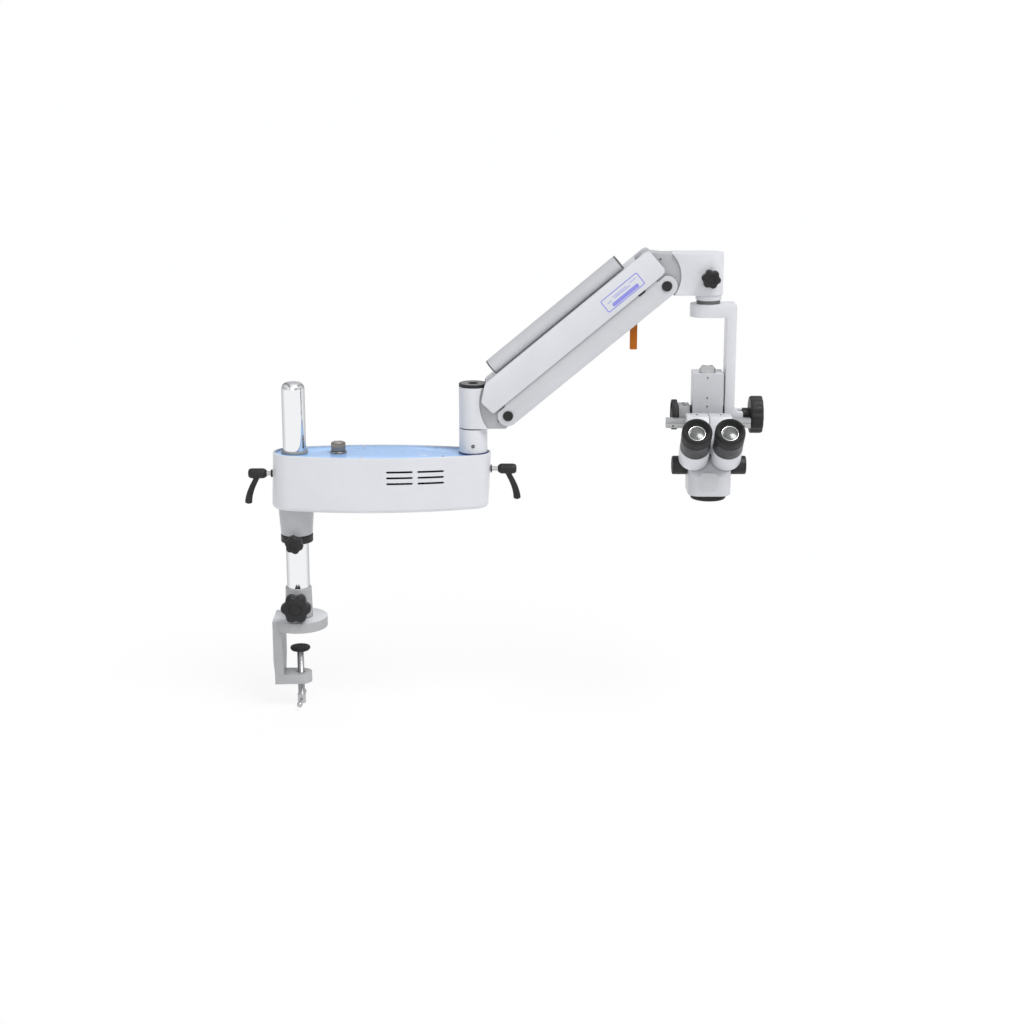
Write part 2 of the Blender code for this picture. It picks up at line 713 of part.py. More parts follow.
def vent_cutters():
    # Two columns of three slots that pass both long walls.
    slots = []
    for column_index in range(2):
        for row in range(3):
            left = VENT_LEFT + column_index * VENT_PITCH_X
            bottom = VENT_TOP_ROW - row * VENT_PITCH_Z - VENT_HEIGHT / 2
            reach = HOUSING_HALF_WIDTH + PAST
            slots.append(box((left, -reach, bottom), (left + VENT_LENGTH, reach, bottom + VENT_HEIGHT)))
    return merge(*slots)


def cover_level():
    return HOUSING_RIM - COVER_RECESS


def top_cover():
    top = cover_level()
    bottom = top - COVER_THICKNESS
    share = (top - COVER_THICKNESS / 2 - HOUSING_BOTTOM) / (HOUSING_RIM - HOUSING_BOTTOM)
    outline = housing_section(share, HOUSING_WALL + SEAT_GAP)
    piece = finish_piece("top_cover", prism(outline, bottom, top), "blue_paint")
    holes = []
    for x, radius, count in ((0, COLUMN_RADIUS + 2 * SEAT_GAP, FINE_SIDES),
                             (POST_X, BEARING_RADIUS + SEAT_GAP, FINE_SIDES),
                             (DIAL_X, STUD_RADIUS + RUN_GAP, SMALL_SIDES)):
        holes.append(moved(rod(radius, bottom - PAST, top + PAST, count, edge=0.0), (x, 0, 0)))
    boolean(piece, tool(merge(*holes)))
    return piece


def column_ring():
    low = cover_level() + SEAT_GAP
    outer = COLUMN_RADIUS + COLUMN_RING_WIDTH
    shape = ring_piece(outer, COLUMN_RADIUS + RUN_GAP, low, low + COLUMN_RING_HEIGHT, FINE_SIDES, edge=EDGE)
    return finish_piece("column_ring", shape, "black_plastic")


def post_ring():
    low = cover_level() + SEAT_GAP
    outer = POST_RADIUS + POST_RING_WIDTH
    shape = ring_piece(outer, BEARING_RADIUS + SEAT_GAP, low, low + POST_RING_HEIGHT, FINE_SIDES)
    return finish_piece("post_ring", shape, "black_plastic", at=(POST_X, 0, 0))


def swivel_boss():
    # The bearing that turns on the column, with the housing fixed round its tube.
    bore = COLUMN_RADIUS + RUN_GAP
    foot = COLLAR_TOP + SEAT_GAP
    shelf = HOUSING_BOTTOM - SEAT_GAP
    top = cover_level() - COVER_THICKNESS - SEAT_GAP
    profile = [(bore, foot), (BOSS_FOOT_RADIUS - EDGE, foot), (BOSS_FOOT_RADIUS, foot + EDGE),
               (BOSS_TOP_RADIUS, shelf), (BOSS_TUBE_RADIUS, shelf), (BOSS_TUBE_RADIUS, top), (bore, top)]
    piece = finish_piece("swivel_boss", turned(profile, FINE_SIDES, closed=True), "grey_paint")
    hole = rod(STUD_RADIUS + RUN_GAP, -BOSS_TUBE_RADIUS - PAST, PAST - COLUMN_RADIUS, SMALL_SIDES, "X", 0.0)
    boolean(piece, tool(moved(hole, (0, 0, LEFT_LEVER_HEIGHT))))
    return piece


def brightness_knob():
    # A fluted dial on a skirt, with its spindle through the cover.
    grip = fluted(DIAL_RADIUS, EDGE, DIAL_FLUTES)
    count = len(grip)
    stud = circle(STUD_RADIUS, count)
    skirt = circle(DIAL_RADIUS + DIAL_SKIRT, count)
    levels = [(stud, -DIAL_SPINDLE), (stud, 0.0), (skirt, 0.0), (skirt, DIAL_SKIRT),
              (grip, DIAL_SKIRT + STEP), (grip, DIAL_HEIGHT - EDGE), (scaled(grip, 0.88), DIAL_HEIGHT)]
    build = loft([[(x, y, z) for x, y in ring] for ring, z in levels])
    return finish_piece("brightness_knob", build, "aluminium", at=(DIAL_X, 0, cover_level() + SEAT_GAP))


def fluted(radius, groove, flutes):
    # A round outline with a groove between every two ribs.
    count = flutes * 2
    reach = [radius - groove * (i % 2) for i in range(count)]
    return [(reach[i] * math.cos(math.tau * i / count), reach[i] * math.sin(math.tau * i / count))
            for i in range(count)]


def lamp_module():
    # A finned heat sink that carries the lamp behind the vents.
    floor = HOUSING_BOTTOM + HOUSING_WALL + SEAT_GAP
    left = VENT_LEFT + LAMP_SHIFT
    outline = [(left, floor), (left + (LAMP_FINS - 1) * LAMP_FIN_PITCH + LAMP_FIN_WIDTH, floor)]
    for i in reversed(range(LAMP_FINS)):
        x = left + i * LAMP_FIN_PITCH
        outline += [(x + LAMP_FIN_WIDTH, floor + LAMP_FIN_HEIGHT), (x, floor + LAMP_FIN_HEIGHT)]
        if i:
            outline += [(x, floor + LAMP_BASE), (x - LAMP_FIN_PITCH + LAMP_FIN_WIDTH, floor + LAMP_BASE)]
    return finish_piece("lamp_module", prism(outline, -LAMP_HALF_DEPTH, LAMP_HALF_DEPTH, "XZ"), "aluminium")


def clamping_lever(name, axis, x, z, reach, stand_off):
    # A stud with a collar at the wall, a hub, and a curved grip that hangs down and away.
    side = 1.0 if axis == "X" else -1.0
    collar_end = -stand_off + LEVER_COLLAR_THICKNESS
    hub = [(STUD_RADIUS, -reach), (STUD_RADIUS, -stand_off), (LEVER_COLLAR_RADIUS, -stand_off),
           (LEVER_COLLAR_RADIUS, collar_end), (STUD_RADIUS, collar_end), (STUD_RADIUS, 0.0),
           (LEVER_HUB_RADIUS * 0.62, 0.0), (LEVER_HUB_RADIUS, LEVER_HUB_LENGTH * 0.15),
           (LEVER_HUB_RADIUS, LEVER_HUB_LENGTH * 0.82), (LEVER_HUB_RADIUS * 0.5, LEVER_HUB_LENGTH)]
    piece = finish_piece(name, turned(hub, SMALL_SIDES, axis), "black_plastic", at=(x, 0, z))
    rings = []
    steps = 6
    for i in range(steps + 1):
        t = i / steps
        centre_x = LEVER_GRIP_START + LEVER_GRIP_SWEEP * math.sin(t * math.pi / 2)
        centre_z = -LEVER_GRIP_TOP - (LEVER_GRIP_DROP - LEVER_GRIP_TOP) * t
        lean = math.atan2(LEVER_GRIP_SWEEP * math.pi / 2 * math.cos(t * math.pi / 2), LEVER_GRIP_DROP)
        half_wide = LEVER_HUB_RADIUS * (0.53 + 0.18 * t)
        half_deep = LEVER_HUB_RADIUS * (0.58 - 0.11 * t)
        ring = []
        for along, deep in circle(1.0, 8):
            across = half_wide * along
            ring.append((side * (centre_x + across * math.cos(lean)), half_deep * deep,
                         centre_z + across * math.sin(lean)))
        rings.append(ring)
    boolean(piece, tool(loft(rings), at=(x, 0, z)), "UNION")
    return piece


def wall_radius(foot_radius, rim_radius, height):
    share = (height - HOUSING_BOTTOM) / (HOUSING_RIM - HOUSING_BOTTOM)
    return foot_radius + (rim_radius - foot_radius) * share


def left_lever():
    wall = wall_radius(FOOT_LEFT_RADIUS, RIM_LEFT_RADIUS, LEFT_LEVER_HEIGHT) + LEVER_COLLAR_GAP
    start = RIM_LEFT_RADIUS + LEVER_STAND_OFF
    reach = start - COLUMN_RADIUS - SEAT_GAP
    return clamping_lever("left_lever", "-X", -start, LEFT_LEVER_HEIGHT, reach, start - wall)


def right_lever():
    wall = wall_radius(FOOT_RIGHT_RADIUS, RIM_RIGHT_RADIUS, RIGHT_LEVER_HEIGHT) + LEVER_COLLAR_GAP
    start = RIM_RIGHT_RADIUS + LEVER_STAND_OFF
    reach = start - SPINDLE_RADIUS - SEAT_GAP
    return clamping_lever("right_lever", "X", POST_X + start, RIGHT_LEVER_HEIGHT, reach, start - wall)


# Arm post

def pivots():
    # The four link pivots, with the upper pair offset square to the resting arm.
    along = Vector((math.cos(ARM_ANGLE), 0, math.sin(ARM_ANGLE)))
    across = Vector((-math.sin(ARM_ANGLE), 0, math.cos(ARM_ANGLE)))
    lower_left = Vector((LOWER_PIVOT_X, 0, LOWER_PIVOT_Z))
    upper_left = lower_left + across * LINK_OFFSET
    return {
        "lower_left": lower_left,
        "upper_left": upper_left,
        "lower_right": lower_left + along * LINK_LENGTH,
        "upper_right": upper_left + along * LINK_LENGTH,
    }


def post_base():
    shelf = cover_level() + POST_RING_HEIGHT + 2 * SEAT_GAP
    top = POST_SEAM - SEAM_HALF_GAP
    foot = HOUSING_BOTTOM + HOUSING_WALL + SEAT_GAP
    bore = SPINDLE_RADIUS + RUN_GAP
    taper = BEARING_RADIUS - BEARING_FOOT_RADIUS
    profile = [(bore, foot), (BEARING_FOOT_RADIUS, foot), (BEARING_RADIUS, foot + taper),
               (BEARING_RADIUS, shelf), (POST_RADIUS, shelf), (POST_RADIUS, top), (bore, top)]
    piece = finish_piece("post_base", turned(profile, FINE_SIDES, closed=True), "paint", at=(POST_X, 0, 0))
    hole = rod(STUD_RADIUS + RUN_GAP, SPINDLE_RADIUS - STUD_RADIUS, BEARING_RADIUS + PAST, SMALL_SIDES, "X",
               0.0)
    boolean(piece, tool(moved(hole, (POST_X, 0, RIGHT_LEVER_HEIGHT))))
    return piece


def post_spindle():
    shape = rod(SPINDLE_RADIUS, SPINDLE_FOOT, POST_TOP - SEAT_GAP, PLAIN_SIDES)
    return finish_piece("post_spindle", shape, "steel", at=(POST_X, 0, 0))


def thrust_washer():
    half = SEAM_HALF_GAP - SEAT_GAP
    outer = POST_RADIUS - SEAM_RECESS
    shape = ring_piece(outer, SPINDLE_RADIUS + RUN_GAP, POST_SEAM - half, POST_SEAM + half, FINE_SIDES)
    return finish_piece("thrust_washer", shape, "black_plastic", at=(POST_X, 0, 0))


def ear(centre, radius, start, end, count=9):
    # Part of a round end about a pivot, between two angles in degrees.
    return circle(radius, count, (centre.x, centre.z), math.radians(start), math.radians(end))


def arm_post():
    # A round post with a shoulder cut by an arc, and a thinner web that carries the left pivots.
    low = POST_SEAM + SEAM_HALF_GAP
    shoulder = circle(POST_RADIUS, 13, (POST_X, 0), math.pi / 2, 3 * math.pi / 2)
    shoulder += [(POST_X + POST_SHOULDER, -POST_RADIUS), (POST_X + POST_SHOULDER, POST_RADIUS)]
    piece = finish_piece("arm_post", prism(shoulder, low, POST_TOP), "paint")
    boolean(piece, tool(cross_cutter(POST_CUT_RADIUS, (POST_CUT_X, 0, POST_CUT_Z), CUT_SIDES)))
    joint = pivots()
    web = [(POST_X, low + STEP), (joint["lower_left"].x - WEB_FOOT_INSET, low + STEP)]
    web += ear(joint["lower_left"], LOWER_EAR_RADIUS, -60, 60)
    web += ear(joint["upper_left"], UPPER_EAR_RADIUS, 40, 108)
    web += [(POST_X + POST_RADIUS + EDGE, POST_TOP - STEP), (POST_X, POST_TOP - STEP)]
    boolean(piece, tool(prism(web, -WEB_HALF_WIDTH, WEB_HALF_WIDTH, "XZ")), "UNION")
    spindle_bore = rod(SPINDLE_RADIUS + SEAT_GAP, low - PAST, POST_TOP + PAST, PLAIN_SIDES, edge=0.0)
    cutters = [moved(spindle_bore, (POST_X, 0, 0))]
    for corner in ("lower_left", "upper_left"):
        cutters.append(cross_cutter(LINK_PIN_RADIUS + RUN_GAP, tuple(joint[corner]), PLAIN_SIDES))
    boolean(piece, tool(merge(*cutters)))
    return piece


def cross_cutter(radius, at, count):
    # A round cutter along Y, long enough to pass the whole arm.
    reach = UPPER_WALL_OUTER + PAST
    return moved(rod(radius, -reach, reach, count, "Y", 0.0), at)


def post_cap():
    low = POST_TOP + SEAT_GAP
    shape = ring_piece(POST_RADIUS, POST_CAP_HOLE, low, low + POST_CAP_THICKNESS, FINE_SIDES, edge=EDGE)
    return finish_piece("post_cap", shape, "black_plastic", at=(POST_X, 0, 0))


# Spring arm: each link is drawn lying along X from its left pivot, then turned up to the arm's angle

def arm_turn():
    return (0, -ARM_ANGLE, 0)


def upper_cover():
    at = tuple(pivots()["upper_left"])
    length = LINK_LENGTH
    outline = [(x, z) for x, z in COVER_LEFT_CORNERS] + [(length + x, z) for x, z in COVER_RIGHT_CORNERS]
    shape = prism(outline, -UPPER_WALL_OUTER, UPPER_WALL_OUTER, "XZ")
    piece = finish_piece("upper_cover", shape, "paint", at=at, turn=arm_turn())
    inside = UPPER_WALL_INNER
    under_top = UPPER_EDGE_ABOVE - SHEET_THICKNESS
    reach = 2 * UPPER_EDGE_BELOW
    channel = box((-reach, -inside, -reach), (length + reach, inside, under_top))
    left_end = box((-reach, -inside, -reach), (COVER_LEFT_CLEARANCE, inside, reach))
    right_end = box((length - PLATE_END_CLEARANCE, -inside, -reach), (length + reach, inside, reach))
    for cutter in (channel, left_end, right_end):
        boolean(piece, tool(cutter, at=at, turn=arm_turn()))
    return piece


def upper_pin(name, corner):
    half = UPPER_WALL_INNER - SEAT_GAP
    shape = rod(LINK_PIN_RADIUS, -half, half, PLAIN_SIDES, "Y")
    return finish_piece(name, shape, "steel", at=tuple(pivots()[corner]))


def lower_pin(name, corner):
    # A pin through the link's walls with a round cap at each end.
    inner = LOWER_WALL_OUTER + SEAT_GAP
    outer = inner + PIN_CAP_THICKNESS
    half = [(PIN_CAP_RADIUS - EDGE, outer), (PIN_CAP_RADIUS, outer - EDGE), (PIN_CAP_RADIUS, inner),
            (LINK_PIN_RADIUS, inner)]
    profile = [(radius, -y) for radius, y in half] + list(reversed(half))
    return finish_piece(name, turned(profile, PLAIN_SIDES, "Y"), "black_plastic", at=tuple(pivots()[corner]))


def lower_link():
    at = tuple(pivots()["lower_left"])
    length = LINK_LENGTH
    start = math.asin(LOWER_TOP_EDGE / LOWER_END_RADIUS)
    outline = circle(LOWER_END_RADIUS, 9, (0, 0), math.pi - start, 3 * math.pi / 2)
    outline += circle(LOWER_END_RADIUS, 9, (length, 0), -math.pi / 2, start)
    shape = prism(outline, -LOWER_WALL_OUTER, LOWER_WALL_OUTER, "XZ")
    piece = finish_piece("lower_link", shape, "paint", at=at, turn=arm_turn())
    inside = LOWER_WALL_INNER
    floor = -LOWER_END_RADIUS + SHEET_THICKNESS
    reach = 2 * LOWER_END_RADIUS
    slot = lock_lever_place() - LOCK_SLOT_SHIFT
    side = LOCK_LEVER_THICKNESS / 2 + LOCK_SLOT_SIDE
    cutters = [
        box((-reach, -inside, floor), (length + reach, inside, reach)),
        box((-reach, -inside, -reach), (PLATE_END_CLEARANCE, inside, reach)),
        box((length - PLATE_END_CLEARANCE, -inside, -reach), (length + reach, inside, reach)),
        box((slot - LOCK_SLOT_HALF, -side, -reach), (slot + LOCK_SLOT_HALF, side, 0)),
    ]
    cutters += [cross_cutter(LINK_PIN_RADIUS + RUN_GAP, (x, 0, 0), PLAIN_SIDES) for x in (0, length)]
    for cutter in cutters:
        boolean(piece, tool(cutter, at=at, turn=arm_turn()))
    return piece


def tube_axis_height():
    return UPPER_EDGE_ABOVE + SEAT_GAP + TUBE_RADIUS


def spring_tube():
    shape = ring_piece(TUBE_RADIUS, TUBE_RADIUS - TUBE_WALL, 0.0, TUBE_LENGTH, PLAIN_SIDES, "X")
    shape = moved(shape, (TUBE_START, TUBE_SIDE_SHIFT, tube_axis_height()))
    return finish_piece("spring_tube", shape, "paint", at=tuple(pivots()["upper_left"]), turn=arm_turn())


def tube_cap(name, axis, x):
    # A flanged plug that closes one of the tube's ends.
    plug = TUBE_RADIUS - TUBE_WALL - SEAT_GAP
    thick = TUBE_CAP_THICKNESS
    profile = [(plug, -PLUG_LENGTH), (plug, 0.0), (TUBE_RADIUS, 0.0), (TUBE_RADIUS, thick - EDGE),
               (TUBE_RADIUS - EDGE, thick)]
    shape = moved(turned(profile, PLAIN_SIDES, axis), (x, TUBE_SIDE_SHIFT, tube_axis_height()))
    return finish_piece(name, shape, "black_plastic", at=tuple(pivots()["upper_left"]), turn=arm_turn())


def tube_saddle():
    # A rail behind the tube, hollowed to its radius, that holds it to the cover.
    low = UPPER_EDGE_ABOVE + SEAT_GAP
    radius = TUBE_RADIUS + SEAT_GAP
    outline = circle(radius, 7, (TUBE_SIDE_SHIFT, tube_axis_height()), math.radians(-78), math.radians(-18))
    back = TUBE_SIDE_SHIFT + SADDLE_WIDTH
    outline += [(back - EDGE, outline[-1][1]), (back, low + SADDLE_HEIGHT), (back, low), (outline[0][0], low)]
    shape = prism(outline, TUBE_START + SADDLE_INSET, TUBE_START + TUBE_LENGTH - SADDLE_INSET, "YZ")
    return finish_piece("tube_saddle", shape, "paint", at=tuple(pivots()["upper_left"]), turn=arm_turn())


def balance_spring():
    # A compression coil that fills the tube between the plugs.
    sides = 4
    per_turn = 6
    ends = PLUG_LENGTH + SEAT_GAP + SPRING_WIRE / 2
    length = TUBE_LENGTH - 2 * ends
    steps = SPRING_TURNS * per_turn
    rings = []
    for i in range(steps + 1):
        angle = math.tau * i / per_turn
        outward = Vector((0, math.cos(angle), math.sin(angle)))
        centre = outward * SPRING_RADIUS + Vector((ends + length * i / steps, 0, 0))
        ring = []
        for across, along in circle(SPRING_WIRE / 2, sides):
            ring.append(tuple(centre + outward * across + Vector((along, 0, 0))))
        rings.append(ring)
    shape = moved(loft(rings), (TUBE_START, TUBE_SIDE_SHIFT, tube_axis_height()))
    return finish_piece("balance_spring", shape, "steel", at=tuple(pivots()["upper_left"]), turn=arm_turn())


def lock_lever_place():
    # How far along the lower link the locking lever's pin lies.
    return (LOCK_LEVER_X - LOWER_PIVOT_X) / math.cos(ARM_ANGLE)


def lock_lever():
    # A flat orange lever that hangs through a slot in the lower link.
    along = lock_lever_place()
    at = (LOCK_LEVER_X, 0, LOWER_PIVOT_Z + along * math.sin(ARM_ANGLE))
    half = LOCK_LEVER_WIDTH / 2
    outline = circle(half, 9, (0, 0), 0.0, math.pi)
    corner = 2 * EDGE
    outline += [(-half, -LOCK_LEVER_DROP + corner), (-half + corner, -LOCK_LEVER_DROP),
                (half - corner, -LOCK_LEVER_DROP), (half, -LOCK_LEVER_DROP + corner)]
    blade = prism(outline, -LOCK_LEVER_THICKNESS / 2, LOCK_LEVER_THICKNESS / 2, "XZ")
    piece = finish_piece("lock_lever", blade, "orange_paint", at=at)
    reach = LOWER_WALL_INNER - SEAT_GAP
    boolean(piece, tool(rod(LOCK_PIN_RADIUS, -reach, reach, SMALL_SIDES, "Y"), at=at), "UNION")
    return piece


# Head block and yoke

def head_block():
    # A block with a round nose, cut by an arc on its left, and a web with the right pivots.
    outline = circle(POST_RADIUS, 15, (HEAD_X, 0), -math.pi / 2, math.pi / 2)
    outline += [(HEAD_X - BLOCK_REACH, POST_RADIUS), (HEAD_X - BLOCK_REACH, -POST_RADIUS)]
    piece = finish_piece("head_block", prism(outline, BLOCK_BOTTOM, BLOCK_TOP), "paint")
    boolean(piece, tool(cross_cutter(HEAD_CUT_RADIUS, (HEAD_CUT_X, 0, HEAD_CUT_Z), CUT_SIDES)))
    joint = pivots()
    inset = HEAD_X - HEAD_WEB_INSET
    web = ear(joint["upper_right"], HEAD_EAR_RADIUS, 90, 235, 13)
    web += ear(joint["lower_right"], LOWER_EAR_RADIUS, 225, 270, 5)
    web += [(joint["lower_right"].x + LOWER_EAR_RADIUS, BLOCK_BOTTOM + STEP), (inset, BLOCK_BOTTOM + STEP),
            (inset, BLOCK_TOP - STEP), (joint["upper_right"].x + HEAD_EAR_RADIUS, BLOCK_TOP - STEP)]
    boolean(piece, tool(prism(web, -WEB_HALF_WIDTH, WEB_HALF_WIDTH, "XZ")), "UNION")
    swivel = rod(SWIVEL_PIN_RADIUS + RUN_GAP, BLOCK_BOTTOM - PAST, BLOCK_TOP - BLOCK_ROOF, PLAIN_SIDES,
                 edge=0.0)
    cutters = [moved(swivel, (HEAD_X, 0, 0))]
    for corner in ("lower_right", "upper_right"):
        cutters.append(cross_cutter(LINK_PIN_RADIUS + RUN_GAP, tuple(joint[corner]), PLAIN_SIDES))
    boolean(piece, tool(merge(*cutters)))
    stud = rod(STUD_RADIUS + RUN_GAP, SWIVEL_PIN_RADIUS - STUD_RADIUS, POST_RADIUS + PAST, SMALL_SIDES, "Y",
               0.0)
    boolean(piece, tool(moved(stud, (HEAD_X, 0, HEAD_KNOB_HEIGHT))))
    return piece


def head_knob():
    tip = SWIVEL_PIN_RADIUS + SEAT_GAP
    stud_length = POST_RADIUS + HEAD_KNOB_STAND_OFF - tip
    shape = lobed_knob(HEAD_KNOB_RADIUS, HEAD_KNOB_LOBES, HEAD_LOBE_DEPTH, stud_length, HEAD_KNOB_HUB,
                       HEAD_KNOB_THICKNESS, 4)
    return finish_piece("head_knob", shape, "black_plastic", at=(HEAD_X, -tip, HEAD_KNOB_HEIGHT))


def swivel_ring():
    # The collar between the head block and the yoke's plate.
    low = YOKE_PLATE_TOP + SEAT_GAP
    high = BLOCK_BOTTOM - RUN_GAP
    bore = SWIVEL_PIN_RADIUS + SEAT_GAP
    neck = SWIVEL_RING_RADIUS - 2 * EDGE
    shoulder = low + SWIVEL_NECK_HEIGHT
    profile = [(bore, low), (neck, low), (neck, shoulder), (SWIVEL_RING_RADIUS, shoulder + 2 * EDGE),
               (SWIVEL_RING_RADIUS, high), (bore, high)]
    return finish_piece("swivel_ring", turned(profile, FINE_SIDES, closed=True), "paint", at=(HEAD_X, 0, 0))


def swivel_spindle():
    shape = rod(SWIVEL_PIN_RADIUS, YOKE_PLATE_BOTTOM + EDGE, BLOCK_TOP - BLOCK_ROOF - SEAT_GAP, PLAIN_SIDES)
    return finish_piece("swivel_spindle", shape, "steel", at=(HEAD_X, 0, 0))


def yoke():
    # A flat bar bent into an L, with a round end over the swivel and a foot round the tilt shaft.
    fillet = YOKE_FOOT_FILLET
    profile = [(YOKE_LEFT, YOKE_PLATE_BOTTOM), (YOKE_BAR_LEFT, YOKE_PLATE_BOTTOM),
               (YOKE_BAR_LEFT, YOKE_FOOT_BOTTOM), (YOKE_FOOT_RIGHT, YOKE_FOOT_BOTTOM),
               (YOKE_FOOT_RIGHT, YOKE_FOOT_TOP)]
    profile += [(YOKE_BAR_RIGHT + fillet * (1 - math.sin(angle)),
                 YOKE_FOOT_TOP + fillet * (1 - math.cos(angle)))
                for angle in (0.0, math.pi / 4, math.pi / 2)]
    profile += [(YOKE_BAR_RIGHT, YOKE_PLATE_TOP - YOKE_CORNER),
                (YOKE_BAR_RIGHT - YOKE_CORNER, YOKE_PLATE_TOP), (YOKE_LEFT, YOKE_PLATE_TOP)]
    piece = finish_piece("yoke", prism(profile, -YOKE_HALF_WIDTH, YOKE_HALF_WIDTH, "XZ"), "paint")
    plan = circle(YOKE_HALF_WIDTH, 11, (YOKE_LEFT + YOKE_HALF_WIDTH, 0), math.pi / 2, 3 * math.pi / 2)
    right = YOKE_FOOT_RIGHT + PAST
    plan += [(right, -YOKE_HALF_WIDTH - PAST), (right, YOKE_HALF_WIDTH + PAST)]
    boolean(piece, tool(prism(plan, YOKE_FOOT_BOTTOM - PAST, YOKE_PLATE_TOP + PAST)), "INTERSECT")
    bore = rod(SWIVEL_PIN_RADIUS + SEAT_GAP, YOKE_PLATE_BOTTOM - PAST, YOKE_PLATE_TOP + PAST, PLAIN_SIDES,
               edge=0.0)
    shaft = rod(TILT_SHAFT_RADIUS + RUN_GAP, YOKE_BAR_LEFT - PAST, right, PLAIN_SIDES, "X", 0.0)
    boolean(piece, tool(merge(moved(bore, (HEAD_X, 0, 0)), moved(shaft, (0, 0, TILT_HEIGHT)))))
    return piece


# Tilt and focus carriage

def tilt_knob():
    # The large ribbed knob on a black stub whose pin meets the shaft's end.
    outline = lobed(TILT_KNOB_RADIUS, TILT_KNOB_LOBES, TILT_LOBE_DEPTH, 3)
    count = len(outline)
    turn = -math.pi / 2
    pin = circle(TILT_SHAFT_RADIUS - RUN_GAP, count, start=turn, end=turn + math.tau)
    stub = circle(TILT_STUB_RADIUS, count, start=turn, end=turn + math.tau)
    right = TILT_KNOB_LEFT + TILT_KNOB_WIDTH
    levels = [(pin, YOKE_FOOT_RIGHT - TILT_PIN_LENGTH), (pin, YOKE_FOOT_RIGHT + SEAT_GAP),
              (stub, YOKE_FOOT_RIGHT + SEAT_GAP), (stub, TILT_KNOB_LEFT),
              (scaled(outline, 0.93), TILT_KNOB_LEFT), (outline, TILT_KNOB_LEFT + TILT_KNOB_EDGE),
              (outline, right - TILT_KNOB_EDGE), (scaled(outline, 0.93), right)]
    build = loft([[to_axis((x, y, z), "X") for x, y in ring] for ring, z in levels])
    return finish_piece("tilt_knob", build, "black_plastic", at=(0, 0, TILT_HEIGHT))


def tilt_shaft():
    right = YOKE_FOOT_RIGHT - TILT_PIN_LENGTH - SEAT_GAP
    shape = rod(TILT_SHAFT_RADIUS, BEARING_BLOCK_LEFT + WHEEL_STUB_LENGTH + SEAT_GAP, right, PLAIN_SIDES, "X")
    return finish_piece("tilt_shaft", shape, "steel", at=(0, 0, TILT_HEIGHT))


def slide_outline(gap=0.0):
    # The dovetail's plan, wider at its back, about the head's centre line.
    front = SLIDE_FRONT - gap
    back = SLIDE_FRONT + SLIDE_THICKNESS + gap
    narrow = SLIDE_HALF_WIDTH - SLIDE_TAPER + gap
    wide = SLIDE_HALF_WIDTH + gap
    return [(HEAD_X - narrow, front), (HEAD_X + narrow, front), (HEAD_X + wide, back), (HEAD_X - wide, back)]


def focus_housing():
    low = (HEAD_X - FOCUS_HALF_WIDTH, FOCUS_FRONT, FOCUS_BOTTOM)
    high = (HEAD_X + FOCUS_HALF_WIDTH, FOCUS_BACK, FOCUS_TOP)
    piece = finish_piece("focus_housing", box(low, high), "paint")
    soft_edges(piece)
    channel = prism(slide_outline(RUN_GAP), FOCUS_BOTTOM - PAST, FOCUS_TOP + PAST)
    boolean(piece, tool(channel))
    boolean(piece, tool(shaft_bore(low[0], high[0])))
    return piece


def shaft_bore(left, right):
    # A bore on the tilt axis through a piece that is fixed to the shaft.
    bore = rod(TILT_SHAFT_RADIUS + SEAT_GAP, left - PAST, right + PAST, PLAIN_SIDES, "X", 0.0)
    return moved(bore, (0, 0, TILT_HEIGHT))


def handle_rail():
    # A cross rail in front of the shaft, with a thick middle that meets the focus housing.
    left = HEAD_X - RAIL_PAD_HALF_WIDTH
    right = HEAD_X + RAIL_PAD_HALF_WIDTH
    meet = FOCUS_FRONT - SEAT_GAP
    outline = [(RAIL_LEFT, RAIL_FRONT), (RAIL_RIGHT, RAIL_FRONT), (RAIL_RIGHT, RAIL_BACK), (right, RAIL_BACK),
               (right, meet), (left, meet), (left, RAIL_BACK), (RAIL_LEFT, RAIL_BACK)]
    piece = finish_piece("handle_rail", prism(outline, RAIL_BOTTOM, RAIL_TOP), "aluminium")
    bottom = RAIL_BOTTOM + RAIL_GROOVE_HEIGHT - RAIL_GROOVE_WIDTH / 2
    groove = box((RAIL_LEFT - PAST, RAIL_FRONT - PAST, bottom),
                 (RAIL_RIGHT + PAST, RAIL_FRONT + RAIL_GROOVE_DEPTH, bottom + RAIL_GROOVE_WIDTH))
    boolean(piece, tool(groove))
    return piece


def left_bearing_block():
    low = (BEARING_BLOCK_LEFT, -BEARING_BLOCK_HALF_DEPTH, BEARING_BLOCK_BOTTOM)
    high = (BEARING_BLOCK_RIGHT, BEARING_BLOCK_HALF_DEPTH, BEARING_BLOCK_TOP)
    piece = finish_piece("left_bearing_block", box(low, high), "grey_paint")
    soft_edges(piece)
    boolean(piece, tool(shaft_bore(BEARING_BLOCK_LEFT, BEARING_BLOCK_RIGHT)))
    return piece


def friction_washer(name, left, right):
    # A dark disc on the tilt shaft that fills the space between two faces.
    bore = TILT_SHAFT_RADIUS + SEAT_GAP
    shape = ring_piece(WASHER_RADIUS, bore, left + SEAT_GAP, right - SEAT_GAP, PLAIN_SIDES, "X")
    return finish_piece(name, shape, "black_plastic", at=(0, 0, TILT_HEIGHT))


